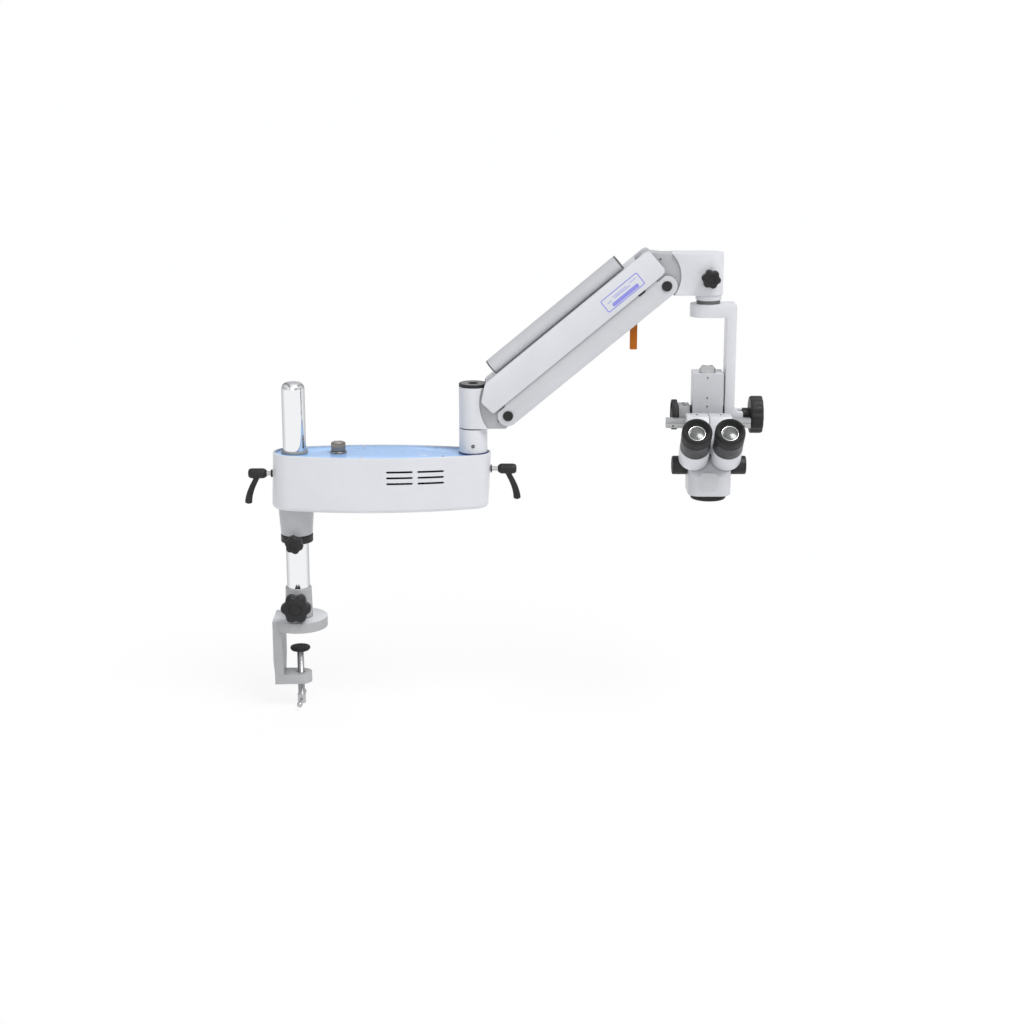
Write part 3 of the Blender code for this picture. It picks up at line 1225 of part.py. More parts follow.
def focus_wheel():
    # A fluted disc whose stub turns in the bearing block.
    high = BEARING_BLOCK_LEFT - WHEEL_GAP
    low = high - WHEEL_WIDTH
    rim = fluted(WHEEL_RADIUS, WHEEL_GROOVE, WHEEL_FLUTES)
    plain = circle(WHEEL_RADIUS * 0.94, len(rim))
    stub = circle(TILT_SHAFT_RADIUS - RUN_GAP, len(rim))
    levels = [(plain, low), (rim, low + EDGE), (rim, high - EDGE), (plain, high), (stub, high),
              (stub, BEARING_BLOCK_LEFT + WHEEL_STUB_LENGTH)]
    build = loft([[to_axis((x, y, z), "X") for x, y in ring] for ring, z in levels])
    return finish_piece("focus_wheel", build, "black_plastic", at=(0, 0, TILT_HEIGHT))


# Scope

def focus_slide():
    # The dovetail that runs in the housing, with a foot that carries the scope.
    piece = finish_piece("focus_slide", prism(slide_outline(), SLIDE_FOOT_BOTTOM, SLIDE_TOP), "aluminium")
    half = SLIDE_HALF_WIDTH - SLIDE_FOOT_INSET
    foot = box((HEAD_X - half, SCOPE_BACK + SEAT_GAP, SLIDE_FOOT_BOTTOM + STEP),
               (HEAD_X + half, SLIDE_FRONT + SLIDE_FOOT_OVERLAP, SLIDE_FOOT_TOP))
    boolean(piece, tool(foot), "UNION")
    return piece


def tube_end_level():
    # How far the slope at the eye tubes' ends lies above the line where height equals depth.
    return EYE_FACE_Z - EYE_FACE_Y - math.sqrt(2) * TUBE_END


def scope_body():
    # The side profile slopes parallel to the eye tubes' ends; the plan has large round corners.
    slope = tube_end_level() - SCOPE_GAP
    front_top = SCOPE_FRONT + slope
    knee_y = SCOPE_TOP - slope
    side = [(SCOPE_BACK, SCOPE_BOTTOM), (SCOPE_BACK, SCOPE_TOP), (knee_y, SCOPE_TOP),
            (SCOPE_FRONT, front_top), (SCOPE_FRONT, SCOPE_BOTTOM)]
    left = HEAD_X - SCOPE_HALF_WIDTH
    right = HEAD_X + SCOPE_HALF_WIDTH
    piece = finish_piece("scope_body", prism(side, left, right, "YZ"), "paint")
    corner = SCOPE_CORNER
    small = SCOPE_BACK_CORNER
    plan = circle(corner, 7, (left + corner, SCOPE_FRONT + corner), math.pi, 3 * math.pi / 2)
    plan += circle(corner, 7, (right - corner, SCOPE_FRONT + corner), 3 * math.pi / 2, math.tau)
    plan += circle(small, 4, (right - small, SCOPE_BACK - small), 0, math.pi / 2)
    plan += circle(small, 4, (left + small, SCOPE_BACK - small), math.pi / 2, math.pi)
    boolean(piece, tool(prism(plan, SCOPE_BOTTOM - PAST, SCOPE_TOP + PAST)), "INTERSECT")
    bore = rod(LENS_RADIUS - LENS_LIP, SCOPE_BOTTOM - PAST, SCOPE_BOTTOM + SCOPE_BORE_DEPTH, FINE_SIDES,
               edge=0.0)
    boolean(piece, tool(moved(bore, (HEAD_X, OPTICAL_Y, 0))))
    drum = rod(ZOOM_SHAFT_RADIUS + RUN_GAP, left - PAST, right + PAST, PLAIN_SIDES, "X", 0.0)
    boolean(piece, tool(moved(drum, (0, OPTICAL_Y, ZOOM_HEIGHT))))
    return piece


def objective_ring():
    high = SCOPE_BOTTOM - SEAT_GAP
    low = high - OBJECTIVE_HEIGHT
    bore = LENS_RADIUS + SEAT_GAP
    seat = high - LENS_LIP
    profile = [(bore, low), (OBJECTIVE_RADIUS - 2 * EDGE, low), (OBJECTIVE_RADIUS, low + 3 * EDGE),
               (OBJECTIVE_RADIUS, high), (bore - LENS_LIP, high), (bore - LENS_LIP, seat), (bore, seat)]
    shape = turned(profile, FINE_SIDES, closed=True)
    return finish_piece("objective_ring", shape, "black_plastic", at=(HEAD_X, OPTICAL_Y, 0))


def objective_lens():
    high = SCOPE_BOTTOM - LENS_LIP - 2 * SEAT_GAP
    rim = high - LENS_RIM_THICKNESS
    profile = [(LENS_RADIUS * 0.1, rim - LENS_BULGE), (LENS_RADIUS * 0.6, rim - LENS_BULGE * 0.8),
               (LENS_RADIUS, rim), (LENS_RADIUS, high)]
    shape = turned(profile, FINE_SIDES)
    return finish_piece("objective_lens", shape, "glass", at=(HEAD_X, OPTICAL_Y, 0))


def zoom_knobs():
    # Two magnification knobs on one drum shaft.
    inner = SCOPE_HALF_WIDTH + SEAT_GAP
    edge = 2 * EDGE
    half = [(ZOOM_SHAFT_RADIUS, inner), (ZOOM_RADIUS - edge, inner), (ZOOM_RADIUS, inner + edge),
            (ZOOM_RADIUS, ZOOM_REACH - edge), (ZOOM_RADIUS - edge, ZOOM_REACH)]
    profile = [(radius, -reach) for radius, reach in reversed(half)] + half
    shape = turned(profile, FINE_SIDES, "X")
    return finish_piece("zoom_knobs", shape, "black_plastic", at=(HEAD_X, OPTICAL_Y, ZOOM_HEIGHT))


def eye_centre(side):
    return (HEAD_X + side * EYE_SPACING / 2, EYE_FACE_Y, EYE_FACE_Z)


def eye_turn():
    # Lays a shape drawn along +Z so that it looks out of the eyepiece's face.
    return (math.pi / 2 - EYE_ANGLE, 0, 0)


def eye_tube(name, side):
    # A prism housing that slides sideways on the scope, with its round tube.
    inner = HEAD_X + side * SEAT_GAP
    outer = HEAD_X + side * PRISM_HALF_WIDTH
    floor = SCOPE_TOP + SEAT_GAP
    profile = [(SCOPE_BACK, floor), (SCOPE_BACK, PRISM_TOP), (PRISM_FRONT_TOP, PRISM_TOP),
               (PRISM_KNEE_Y, PRISM_TOP - PRISM_KNEE_BELOW), (PRISM_FRONT_Y, PRISM_TOP - PRISM_FRONT_BELOW),
               (floor - tube_end_level() - PRISM_FOOT_STEP, floor)]
    piece = finish_piece(name, prism(profile, min(inner, outer), max(inner, outer), "YZ"), "paint")
    soft_edges(piece)
    front = -BARREL_LENGTH
    tube = turned([(EYE_TUBE_RADIUS, -TUBE_END), (EYE_TUBE_RADIUS, front - EDGE),
                   (EYE_TUBE_RADIUS - EDGE, front)], FINE_SIDES)
    centre = eye_centre(side)
    boolean(piece, tool(tube, at=centre, turn=eye_turn()), "UNION")
    bore = rod(EYE_STEM_RADIUS + SEAT_GAP, front - EYE_STEM_LENGTH - 4 * EDGE, front + PAST, FINE_SIDES,
               edge=0.0)
    boolean(piece, tool(bore, at=centre, turn=eye_turn()))
    return piece


def eyepiece(name, side):
    # A black barrel with a soft cup and a stem that turns in the tube.
    back = -BARREL_LENGTH + SEAT_GAP
    pocket = EYE_LENS_RADIUS + SEAT_GAP
    profile = [(EYE_STEM_RADIUS, back - EYE_STEM_LENGTH), (EYE_STEM_RADIUS, back),
               (BARREL_RADIUS - EDGE, back), (BARREL_RADIUS - EDGE, -CUP_LENGTH),
               (BARREL_RADIUS, -CUP_LENGTH + 2 * EDGE), (BARREL_RADIUS, -CUP_LENGTH * 0.3),
               (BARREL_RADIUS - CUP_LIP / 2, -EDGE), (BARREL_RADIUS - CUP_LIP, 0.0),
               (pocket, -LENS_DEPTH / 2), (pocket, -LENS_DEPTH), (EYE_LENS_RADIUS * 0.75, -LENS_DEPTH)]
    return finish_piece(name, turned(profile, FINE_SIDES), "rubber", at=eye_centre(side), turn=eye_turn())


def eye_lens(name, side):
    back = -LENS_DEPTH + SEAT_GAP
    rim = back + LENS_RIM_THICKNESS
    profile = [(EYE_LENS_RADIUS, back), (EYE_LENS_RADIUS, rim),
               (EYE_LENS_RADIUS * 0.6, rim + LENS_BULGE * 0.8), (EYE_LENS_RADIUS * 0.1, rim + LENS_BULGE)]
    return finish_piece(name, turned(profile, FINE_SIDES), "glass", at=eye_centre(side), turn=eye_turn())


# The whole microscope

def build_microscope():
    for old in list(bpy.data.objects):
        bpy.data.objects.remove(old, do_unlink=True)
    clamp_frame()
    clamp_screw()
    tommy_bar()
    clamp_pad()
    column_socket()
    column()
    knob_on_column("socket_knob", SOCKET_KNOB_HEIGHT, SOCKET_KNOB_RADIUS, SOCKET_KNOB_LOBES,
                   SOCKET_LOBE_DEPTH, SOCKET_FOOT_RADIUS, SOCKET_KNOB_THICKNESS, 5)
    stop_collar()
    knob_on_column("collar_knob", collar_middle(), COLLAR_KNOB_RADIUS, COLLAR_KNOB_LOBES, COLLAR_LOBE_DEPTH,
                   COLLAR_RADIUS, COLLAR_KNOB_THICKNESS, 4)
    swivel_boss()
    housing_shell()
    top_cover()
    column_ring()
    post_ring()
    brightness_knob()
    lamp_module()
    left_lever()
    right_lever()
    post_base()
    post_spindle()
    thrust_washer()
    arm_post()
    post_cap()
    upper_cover()
    upper_pin("upper_left_pin", "upper_left")
    upper_pin("upper_right_pin", "upper_right")
    lower_link()
    lower_pin("lower_left_pin", "lower_left")
    lower_pin("lower_right_pin", "lower_right")
    spring_tube()
    tube_cap("left_tube_cap", "-X", TUBE_START - SEAT_GAP)
    tube_cap("right_tube_cap", "X", TUBE_START + TUBE_LENGTH + SEAT_GAP)
    tube_saddle()
    balance_spring()
    lock_lever()
    head_block()
    head_knob()
    swivel_ring()
    swivel_spindle()
    yoke()
    tilt_knob()
    tilt_shaft()
    focus_housing()
    handle_rail()
    left_bearing_block()
    friction_washer("left_friction_washer", BEARING_BLOCK_RIGHT, HEAD_X - FOCUS_HALF_WIDTH)
    friction_washer("right_friction_washer", HEAD_X + FOCUS_HALF_WIDTH, YOKE_BAR_LEFT)
    focus_wheel()
    focus_slide()
    scope_body()
    objective_ring()
    objective_lens()
    zoom_knobs()
    for name, side in (("left", -1), ("right", 1)):
        eye_tube(name + "_eye_tube", side)
        eyepiece(name + "_eyepiece", side)
        eye_lens(name + "_eye_lens", side)


build_microscope()
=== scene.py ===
import math

import bmesh
import bpy
from mathutils import Matrix, Vector


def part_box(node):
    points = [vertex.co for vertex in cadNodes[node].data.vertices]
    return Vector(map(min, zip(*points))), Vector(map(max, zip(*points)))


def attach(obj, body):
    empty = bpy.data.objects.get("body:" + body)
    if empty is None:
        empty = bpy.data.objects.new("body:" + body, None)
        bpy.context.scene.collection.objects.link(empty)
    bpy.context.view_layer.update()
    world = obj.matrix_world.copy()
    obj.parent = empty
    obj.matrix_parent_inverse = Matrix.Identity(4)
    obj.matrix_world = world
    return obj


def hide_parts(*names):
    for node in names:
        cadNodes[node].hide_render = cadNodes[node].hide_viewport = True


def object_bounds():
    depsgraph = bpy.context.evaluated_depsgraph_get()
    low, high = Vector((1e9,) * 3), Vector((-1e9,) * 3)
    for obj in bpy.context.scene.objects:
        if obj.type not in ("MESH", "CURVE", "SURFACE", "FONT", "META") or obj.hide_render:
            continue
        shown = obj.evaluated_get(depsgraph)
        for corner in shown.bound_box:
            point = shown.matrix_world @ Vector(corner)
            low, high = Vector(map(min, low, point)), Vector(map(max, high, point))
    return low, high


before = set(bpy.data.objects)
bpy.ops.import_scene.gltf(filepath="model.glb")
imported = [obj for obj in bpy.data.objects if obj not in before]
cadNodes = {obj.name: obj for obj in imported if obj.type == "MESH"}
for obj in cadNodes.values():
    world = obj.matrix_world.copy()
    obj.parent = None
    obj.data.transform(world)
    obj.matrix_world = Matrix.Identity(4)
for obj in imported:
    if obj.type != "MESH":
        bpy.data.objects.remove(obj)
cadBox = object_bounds()
print("stage: frame loaded")

quarter = math.pi / 2
# The clearance between solids that fit together, and how far a screw's head stands out.
gap = 0.0003
proud = 0.0001
# How far a cutter runs past the face that it opens.
past = 0.01


class Sizes(dict):
    # A piece's sizes, read by their names.
    __getattr__ = dict.__getitem__


# Node helpers

def wire(node, sockets):
    # Each socket gets a plain value or another node's output.
    for key, value in sockets.items():
        if isinstance(value, bpy.types.NodeSocket):
            node.id_data.links.new(value, node.inputs[key])
        else:
            node.inputs[key].default_value = value


def addNode(tree, kind, sockets=None, **settings):
    made = tree.nodes.new("ShaderNode" + kind)
    for key, value in settings.items():
        setattr(made, key, value)
    wire(made, sockets or {})
    return made


def startMaterial(name, colour, roughness, metallic=0.0):
    made = bpy.data.materials.new(name)
    made.use_nodes = True
    shader = made.node_tree.nodes["Principled BSDF"]
    wire(shader, {"Base Color": (*colour, 1.0), "Roughness": roughness, "Metallic": metallic})
    return made, made.node_tree, shader


def noiseFrom(tree, scale, detail=3.0, roughness=0.5, stretch=(1.0, 1.0, 1.0)):
    place = addNode(tree, "TexCoord").outputs["Object"]
    mapped = addNode(tree, "Mapping", {"Vector": place, "Scale": stretch}).outputs["Vector"]
    sockets = {"Vector": mapped, "Scale": scale, "Detail": detail, "Roughness": roughness}
    return addNode(tree, "TexNoise", sockets).outputs["Fac"]


def remap(tree, source, low, high, fromLow=0.3, fromHigh=0.7):
    sockets = {"Value": source, "From Min": fromLow, "From Max": fromHigh, "To Min": low, "To Max": high}
    return addNode(tree, "MapRange", sockets).outputs["Result"]


def mixColours(tree, factor, first, second):
    step = addNode(tree, "Mix", {"Factor": factor}, data_type="RGBA")
    names = [s.name if s.type == "RGBA" else "" for s in step.inputs]
    for socket, value in (("A", first), ("B", second)):
        wire(step, {names.index(socket): (*value, 1.0) if isinstance(value, tuple) else value})
    return [s for s in step.outputs if s.type == "RGBA"][0]


def tone(colour, factor):
    return tuple(channel * factor for channel in colour)


def bumpFrom(tree, noise, strength, distance):
    sockets = {"Height": noiseFrom(tree, *noise), "Strength": strength, "Distance": distance}
    return addNode(tree, "Bump", sockets).outputs["Normal"]


def layered(name, colour, roughness, cloud, cornerShade, rub, relief, sockets, metallic=0.0):
    # Clouding, painted shade that darkens tight corners, an uneven polish and a fine relief.
    made, tree, shader = startMaterial(name, colour, roughness, metallic)
    noise, shade, span = cloud
    reach, strength, darkness = cornerShade
    body = mixColours(tree, remap(tree, noiseFrom(tree, *noise), 0.0, 1.0, *span), colour, tone(colour, shade))
    # Painted shade: an ambient occlusion mask darkens the colour in tight corners.
    corner = addNode(tree, "AmbientOcclusion", {"Distance": reach}, samples=6).outputs["AO"]
    shadedBody = mixColours(tree, remap(tree, corner, strength, 0.0, 0.25, 0.85), body, tone(colour, darkness))
    polish = remap(tree, noiseFrom(tree, *rub[0]), *rub[1:])
    wire(shader, {"Base Color": shadedBody, "Roughness": polish, "Normal": bumpFrom(tree, *relief), **sockets})
    return made


# Finishes

# The band of a noise that is spread over a full change.
middle = (0.3, 0.7)


def paintFinish(name, colour, roughness=0.34, peel=0.1, cloud=0.955, cornerShadeStrength=0.35, coat=0.18):
    # Sprayed enamel with a fine orange peel, darkened in tight corners as painted shade.
    return layered(name, colour, roughness, ((14.0, 4.0, 0.6), cloud, middle), (0.006, cornerShadeStrength, 0.55),
                   ((60.0, 5.0, 0.65), roughness - 0.05, roughness + 0.09), ((620.0, 2.0, 0.45), peel, 0.0004),
                   {"Coat Weight": coat, "Specular IOR Level": 0.2 + coat, "Coat Roughness": 0.18})


def castFinish(name, colour):
    # Painted sand casting: broader lumps under a grainy coat.
    return layered(name, colour, 0.48, ((26.0, 5.0, 0.6), 0.9, middle), (0.008, 0.45, 0.45),
                   ((240.0, 4.0), 0.38, 0.58), ((420.0, 5.0, 0.6), 0.28, 0.0006), {})


def plasticFinish(name, colour, roughness=0.46, grain=0.3, grainScale=900.0, sheen=0.0):
    # Moulded plastic with a spark-eroded grain and paler, rubbed patches.
    return layered(name, colour, roughness, ((45.0, 6.0, 0.62), 1.7, (0.42, 0.7)), (0.004, 0.5, 0.4),
                   ((130.0, 4.0), roughness - 0.08, roughness + 0.1), ((grainScale, 3.0, 0.55), grain, 0.0003),
                   {"Sheen Weight": sheen, "Specular IOR Level": 0.35})


def metalFinish(name, colour, roughness, stretch=(1.0, 1.0, 1.0), streak=0.12, scale=90.0, anisotropic=0.0):
    # Bare metal whose tool marks run along the axis that the stretch leaves long.
    marks = (scale, 6.0, 0.65, stretch)
    return layered(name, colour, roughness, (marks, 0.86, middle), (0.004, 0.5, 0.35),
                   (marks, max(roughness - 0.06, 0.02), roughness + 0.08), (marks, streak, 0.00015),
                   {"Anisotropic": anisotropic}, 1.0)


def chromeFinish(name):
    # Polished plate with flanks painted darker as a painted reflection, and a faint haze of wiping marks round the
    # column.
    made, tree, shader = startMaterial(name, (0.8, 0.81, 0.83), 0.05, 1.0)
    flank = addNode(tree, "LayerWeight", {"Blend": 0.5}).outputs["Facing"]
    # Painted reflection: the base colour darkens towards the flanks, where the surface turns away from the camera.
    paintedFlankReflection = mixColours(tree, remap(tree, flank, 0.0, 1.0, 0.28, 0.72), (0.88, 0.89, 0.9), (0.4, 0.41, 0.43))
    haze = remap(tree, noiseFrom(tree, 40.0, 6.0, 0.7, (1.0, 1.0, 9.0)), 0.035, 0.11, 0.35, 0.75)
    relief = bumpFrom(tree, (12.0, 2.0, 0.4), 0.02, 0.0005)
    wire(shader, {"Base Color": paintedFlankReflection, "Roughness": haze, "Normal": relief})
    return made


def lensFinish(name, glassColour, coatReflectionColour):
    # Dark coated glass, painted lighter where it is seen at a low angle, a painted reflection of its coating.
    made, tree, shader = startMaterial(name, glassColour, 0.2)
    rim = addNode(tree, "LayerWeight", {"Blend": 0.45}).outputs["Facing"]
    polish = remap(tree, noiseFrom(tree, 300.0, 3.0), 0.16, 0.24)
    # Painted reflection: the facing mask blends the base colour to the lighter coat colour at low angles.
    wire(shader, {"Base Color": mixColours(tree, rim, glassColour, coatReflectionColour), "Roughness": polish,
                  "Coat Weight": 0.6, "Coat Roughness": 0.16, "Specular IOR Level": 0.8})
    return made


paintColour = (0.69, 0.7, 0.728)
greyColour = (0.42, 0.425, 0.432)
blackColour = (0.013, 0.013, 0.014)
# Each finish with the slot of the record that it stands for.
finishes = {
    "paint": ("cast_paint", paintFinish("lightGreyEnamel", paintColour)),
    # Painted shade: a darker copy of the light enamel for the recessed webs between the arm's sides.
    "web": ("cast_paint", paintFinish("webPaintedShadeEnamel", tone(paintColour, 0.62), 0.42, 0.14)),
    # Painted shade: near black for hollows and faces that look into the housing.
    "inside": ("cast_paint", paintFinish("housingInsidePaintedShade", (0.035, 0.036, 0.04), 0.6, 0.2)),
    "blue": ("blue_paint", paintFinish("lightBlueEnamel", (0.37, 0.61, 1.0), 0.3, 0.06, 0.95, 0.12)),
    # Grey casting; on the clamp's sides it also stands in as painted shade.
    "castGreyAndShade": ("cast_grey", castFinish("greyCastingAndPaintedShade", greyColour)),
    "ringGrey": ("cast_grey", castFinish("greyRing", tone(greyColour, 0.72))),
    # Painted shade: a darker copy of the light enamel, for the lower link in the cover's shade.
    "link": ("cast_paint", paintFinish("linkPaintedShadeEnamel", tone(paintColour, 0.86))),
    "tube": ("sheet_paint", paintFinish("tubeEnamel", tone(paintColour, 0.8))),
    "navy": ("black_plastic", paintFinish("navyEnamel", (0.035, 0.05, 0.17), 0.4, 0.05)),
    # Painted shade: a darker copy of the light enamel for the boss under the housing.
    "boss": ("cast_grey", paintFinish("bossPaintedShadeEnamel", tone(paintColour, 0.68), 0.36, 0.12)),
    "black": ("black_plastic", plasticFinish("blackMoulding", blackColour)),
    "blackSatin": ("black_plastic", plasticFinish("blackAnodised", tone(blackColour, 0.8), 0.34, 0.1, 1500.0)),
    "rubber": ("black_rubber", plasticFinish("softRubber", tone(blackColour, 0.75), 0.66, 0.35, 1300.0, 0.08)),
    "chrome": ("chrome", chromeFinish("polishedChrome")),
    "steel": ("steel", metalFinish("turnedSteel", (0.56, 0.56, 0.57), 0.3, (1.0, 1.0, 14.0))),
    "darkSteel": ("steel", metalFinish("blackedSteel", (0.1, 0.1, 0.105), 0.38)),
    "knobMetal": ("bare_aluminium", metalFinish("brushedKnobMetal", (0.33, 0.3, 0.27), 0.34, (1.0, 1.0, 0.08),
                                                0.16, 900.0, 0.4)),
    "brightRing": ("bare_aluminium", metalFinish("brightRingMetal", (0.9, 0.9, 0.91), 0.12)),
    "railMetal": ("bare_aluminium", metalFinish("anodisedRail", (0.54, 0.545, 0.55), 0.42, (0.05, 1.0, 1.0),
                                                0.1, 800.0, 0.3)),
    "orange": ("orange_paint", paintFinish("orangeBrownEnamel", (0.45, 0.122, 0.004), 0.5, 0.12, coat=0.0)),
    "smoke": ("black_plastic", paintFinish("smokeEnamel", (0.12, 0.12, 0.123), 0.45, 0.15)),
    "print": ("sheet_paint", paintFinish("violetPrint", (0.27, 0.27, 0.74), 0.5, 0.05)),
    "whitePrint": ("blue_paint", paintFinish("whitePrint", (0.85, 0.87, 0.9), 0.5, 0.05)),
    "plaque": ("sheet_paint", paintFinish("plaqueEnamel", tone(paintColour, 0.8), 0.28, 0.05)),
    "charcoal": ("black_plastic", plasticFinish("charcoalAnodised", (0.042, 0.042, 0.045), 0.38, 0.12, 1400.0)),
    "lens": ("glass", lensFinish("coatedLens", (0.105, 0.11, 0.105), (0.23, 0.24, 0.235))),
    "objectiveLens": ("glass", lensFinish("coatedObjective", (0.035, 0.045, 0.05), (0.2, 0.36, 0.34))),
}
print("stage: finishes made")


# Mesh helpers

def toAxis(point, axis):
    # A point drawn about +Z, laid so that its +Z lies along the named axis.
    x, y, z = point
    return {"Z": (x, y, z), "Y": (x, -z, y), "X": (z, y, -x), "-X": (-z, y, x), "-Y": (x, z, -y)}[axis]


def polar(reach, angle):
    return (reach * math.cos(angle), reach * math.sin(angle))


def arcPoints(radius, count, centre=(0.0, 0.0), start=0.0, end=math.tau):
    full = abs(end - start - math.tau) < 1e-6
    steps = count if full else count - 1
    angles = [start + (end - start) * i / steps for i in range(count)]
    return [(centre[0] + radius * math.cos(a), centre[1] + radius * math.sin(a)) for a in angles]


def loftRings(sections, closed=False):
    build = bmesh.new()
    rings = [[build.verts.new(p) for p in section] for section in sections]
    for low, high in zip(rings, rings[1:] + rings[:1] if closed else rings[1:]):
        for i in range(len(low)):
            j = (i + 1) % len(low)
            build.faces.new((low[i], low[j], high[j], high[i]))
    if not closed:
        build.faces.new(list(reversed(rings[0])))
        build.faces.new(rings[-1])
    return build


def softened(profile, radius=0.0004, steps=3):
    # Rounds each corner of a turned profile, apart from its two ends.
    result = [profile[0]]
    for before, here, after in zip(profile, profile[1:], profile[2:]):
        a, b, c = Vector(before), Vector(here), Vector(after)
        reach = min(radius, (a - b).length * 0.45, (c - b).length * 0.45)
        start = b + (a - b).normalized() * reach
        end = b + (c - b).normalized() * reach
        for i in range(steps + 1):
            t = i / steps
            result.append(tuple(start.lerp(b, t).lerp(b.lerp(end, t), t)))
    return result + [profile[-1]]


def lathe(profile, sides=96, axis="Z", closed=False):
    rings = [[toAxis((x, y, z), axis) for x, y in arcPoints(radius, sides)] for radius, z in profile]
    return loftRings(rings, closed)


def extrude(outline, low, high, plane="XY"):
    def place(a, b, level):
        return {"XY": (a, b, level), "XZ": (a, level, b), "YZ": (level, a, b)}[plane]
    return loftRings([[place(*point, level) for point in outline] for level in (low, high)])


def block(low, high):
    outline = [(low[0], low[1]), (high[0], low[1]), (high[0], high[1]), (low[0], high[1])]
    return extrude(outline, low[2], high[2])


def joinMeshes(*parts):
    build = bmesh.new()
    for part in parts:
        mesh = bpy.data.meshes.new("joined")
        part.to_mesh(mesh)
        part.free()
        build.from_mesh(mesh)
        bpy.data.meshes.remove(mesh)
    return build


def shifted(build, offset=(0.0, 0.0, 0.0), turn=None):
    matrix = Matrix.Translation(offset) @ (turn or Matrix.Identity(4))
    bmesh.ops.transform(build, matrix=matrix, verts=build.verts)
    return build


def bareObject(name, build):
    bmesh.ops.recalc_face_normals(build, faces=build.faces)
    mesh = bpy.data.meshes.new(name)
    build.to_mesh(mesh)
    build.free()
    made = bpy.data.objects.new(name, mesh)
    bpy.context.scene.collection.objects.link(made)
    return made


def modified(piece, kind, **settings):
    # Puts the result of one modifier into the piece's mesh.
    step = piece.modifiers.new("step", kind)
    for key, value in settings.items():
        setattr(step, key, value)
    bpy.context.view_layer.update()
    evaluated = piece.evaluated_get(bpy.context.evaluated_depsgraph_get())
    result = bpy.data.meshes.new_from_object(evaluated)
    old = piece.data
    piece.modifiers.clear()
    piece.data = result
    bpy.data.meshes.remove(old)


def carve(piece, build, operation="DIFFERENCE"):
    guide = bareObject("guide", build)
    modified(piece, "BOOLEAN", operation=operation, solver="EXACT", object=guide)
    guideMesh = guide.data
    bpy.data.objects.remove(guide)
    bpy.data.meshes.remove(guideMesh)


def drill(piece, radius, low, high, at=(0.0, 0.0, 0.0), axis="Z", sides=48):
    carve(piece, shifted(lathe([(radius, low), (radius, high)], sides, axis), at))


def bevelled(piece, width, segments=3, angle=40):
    modified(piece, "BEVEL", width=width, segments=segments, limit_method="ANGLE",
             angle_limit=math.radians(angle), harden_normals=False)


def dress(piece, finish, body, stands="", sharp=40):
    # Gives a piece its finish, its body and the node that it stands for.
    slot, made = finishes[finish]
    piece.data.materials.clear()
    piece.data.materials.append(made)
    piece.data.shade_smooth()
    piece.data.set_sharp_from_angle(angle=math.radians(sharp))
    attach(piece, body)
    if stands:
        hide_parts(stands)


def addPiece(name, build, finish, body, stands="", sharp=38):
    dress(bareObject(name, build), finish, body, stands, sharp)


def turned(name, profile, finish, body, stands="", at=(0.0, 0.0, 0.0), soft=0.0, axis="Z", sides=96, sharp=38):
    # A closed profile: a ring or sleeve with its bore.
    ring = lathe(softened(profile, soft) if soft else profile, sides, axis, True)
    addPiece(name, shifted(ring, at), finish, body, stands, sharp)


def refined(node, finish, body, bevel=0.0):
    # A node's own solid with its edges rounded.
    build = bmesh.new()
    build.from_mesh(cadNodes[node].data)
    bmesh.ops.remove_doubles(build, verts=build.verts, dist=0.00001)
    bmesh.ops.dissolve_limit(build, angle_limit=math.radians(0.5), verts=build.verts, edges=build.edges)
    piece = bareObject(node + "Finished", build)
    if bevel:
        bevelled(piece, bevel, 2, 32)
    dress(piece, finish, body, node, 38)


def socketScrew(name, at, axis, radius, body, finish="darkSteel", turn=None):
    # A cap screw with a hexagon socket, its head standing a little proud.
    height = radius * 0.45
    sides = 24
    flats = [radius * 0.5 * (1.0 if i % 4 == 0 else 0.93) for i in range(sides)]
    socket = [polar(reach, math.tau * i / sides) for i, reach in enumerate(flats)]
    rim = arcPoints(radius, sides)
    levels = [(rim, -height), (rim, height * 0.6), (arcPoints(radius * 0.86, sides), height), (socket, height),
              (socket, -height * 0.4)]
    build = loftRings([[toAxis((x, y, z), axis) for x, y in ring] for ring, z in levels])
    addPiece(name, shifted(build, at, turn), finish, body, sharp=30)


def screwRow(name, spots, axis, radius, body, finish="darkSteel"):
    for number, at in enumerate(spots):
        socketScrew(name + str(number), at, axis, radius, body, finish)


def lobedOutline(radius, lobes, depth, pointsPerLobe, power=1.5, start=0.0):
    # Grips from broad lobes down to fine flutes.
    outline = []
    for i in range(lobes * pointsPerLobe):
        angle = math.tau * i / (lobes * pointsPerLobe) + start
        wave = 0.5 - 0.5 * math.cos(math.tau * i / pointsPerLobe)
        outline.append(polar(radius - depth * wave ** power, angle))
    return outline


def scaledLevels(outline, base, rows, unit=1.0):
    return [([(x * share, y * share) for x, y in outline], base + rise * unit) for share, rise in rows]


def ringStack(levels, axis):
    # Levels of one point count each; plain circles are given by their radius.
    count = max(len(ring) for ring, _ in levels if not isinstance(ring, float))
    sections = []
    for ring, z in levels:
        points = arcPoints(ring, count, start=-quarter, end=3 * quarter) if isinstance(ring, float) else ring
        sections.append([toAxis((x, y, z), axis) for x, y in points])
    return loftRings(sections)


studSizes = Sizes(radius=0.004, tip=0.0035, edge=0.0006)


def addStud(name, start, end, axis, at, body):
    s = studSizes
    stud = lathe([(s.tip, start), (s.radius, start + s.edge), (s.radius, end)], 32, axis)
    addPiece(name + "Stud", shifted(stud, at), "steel", body)


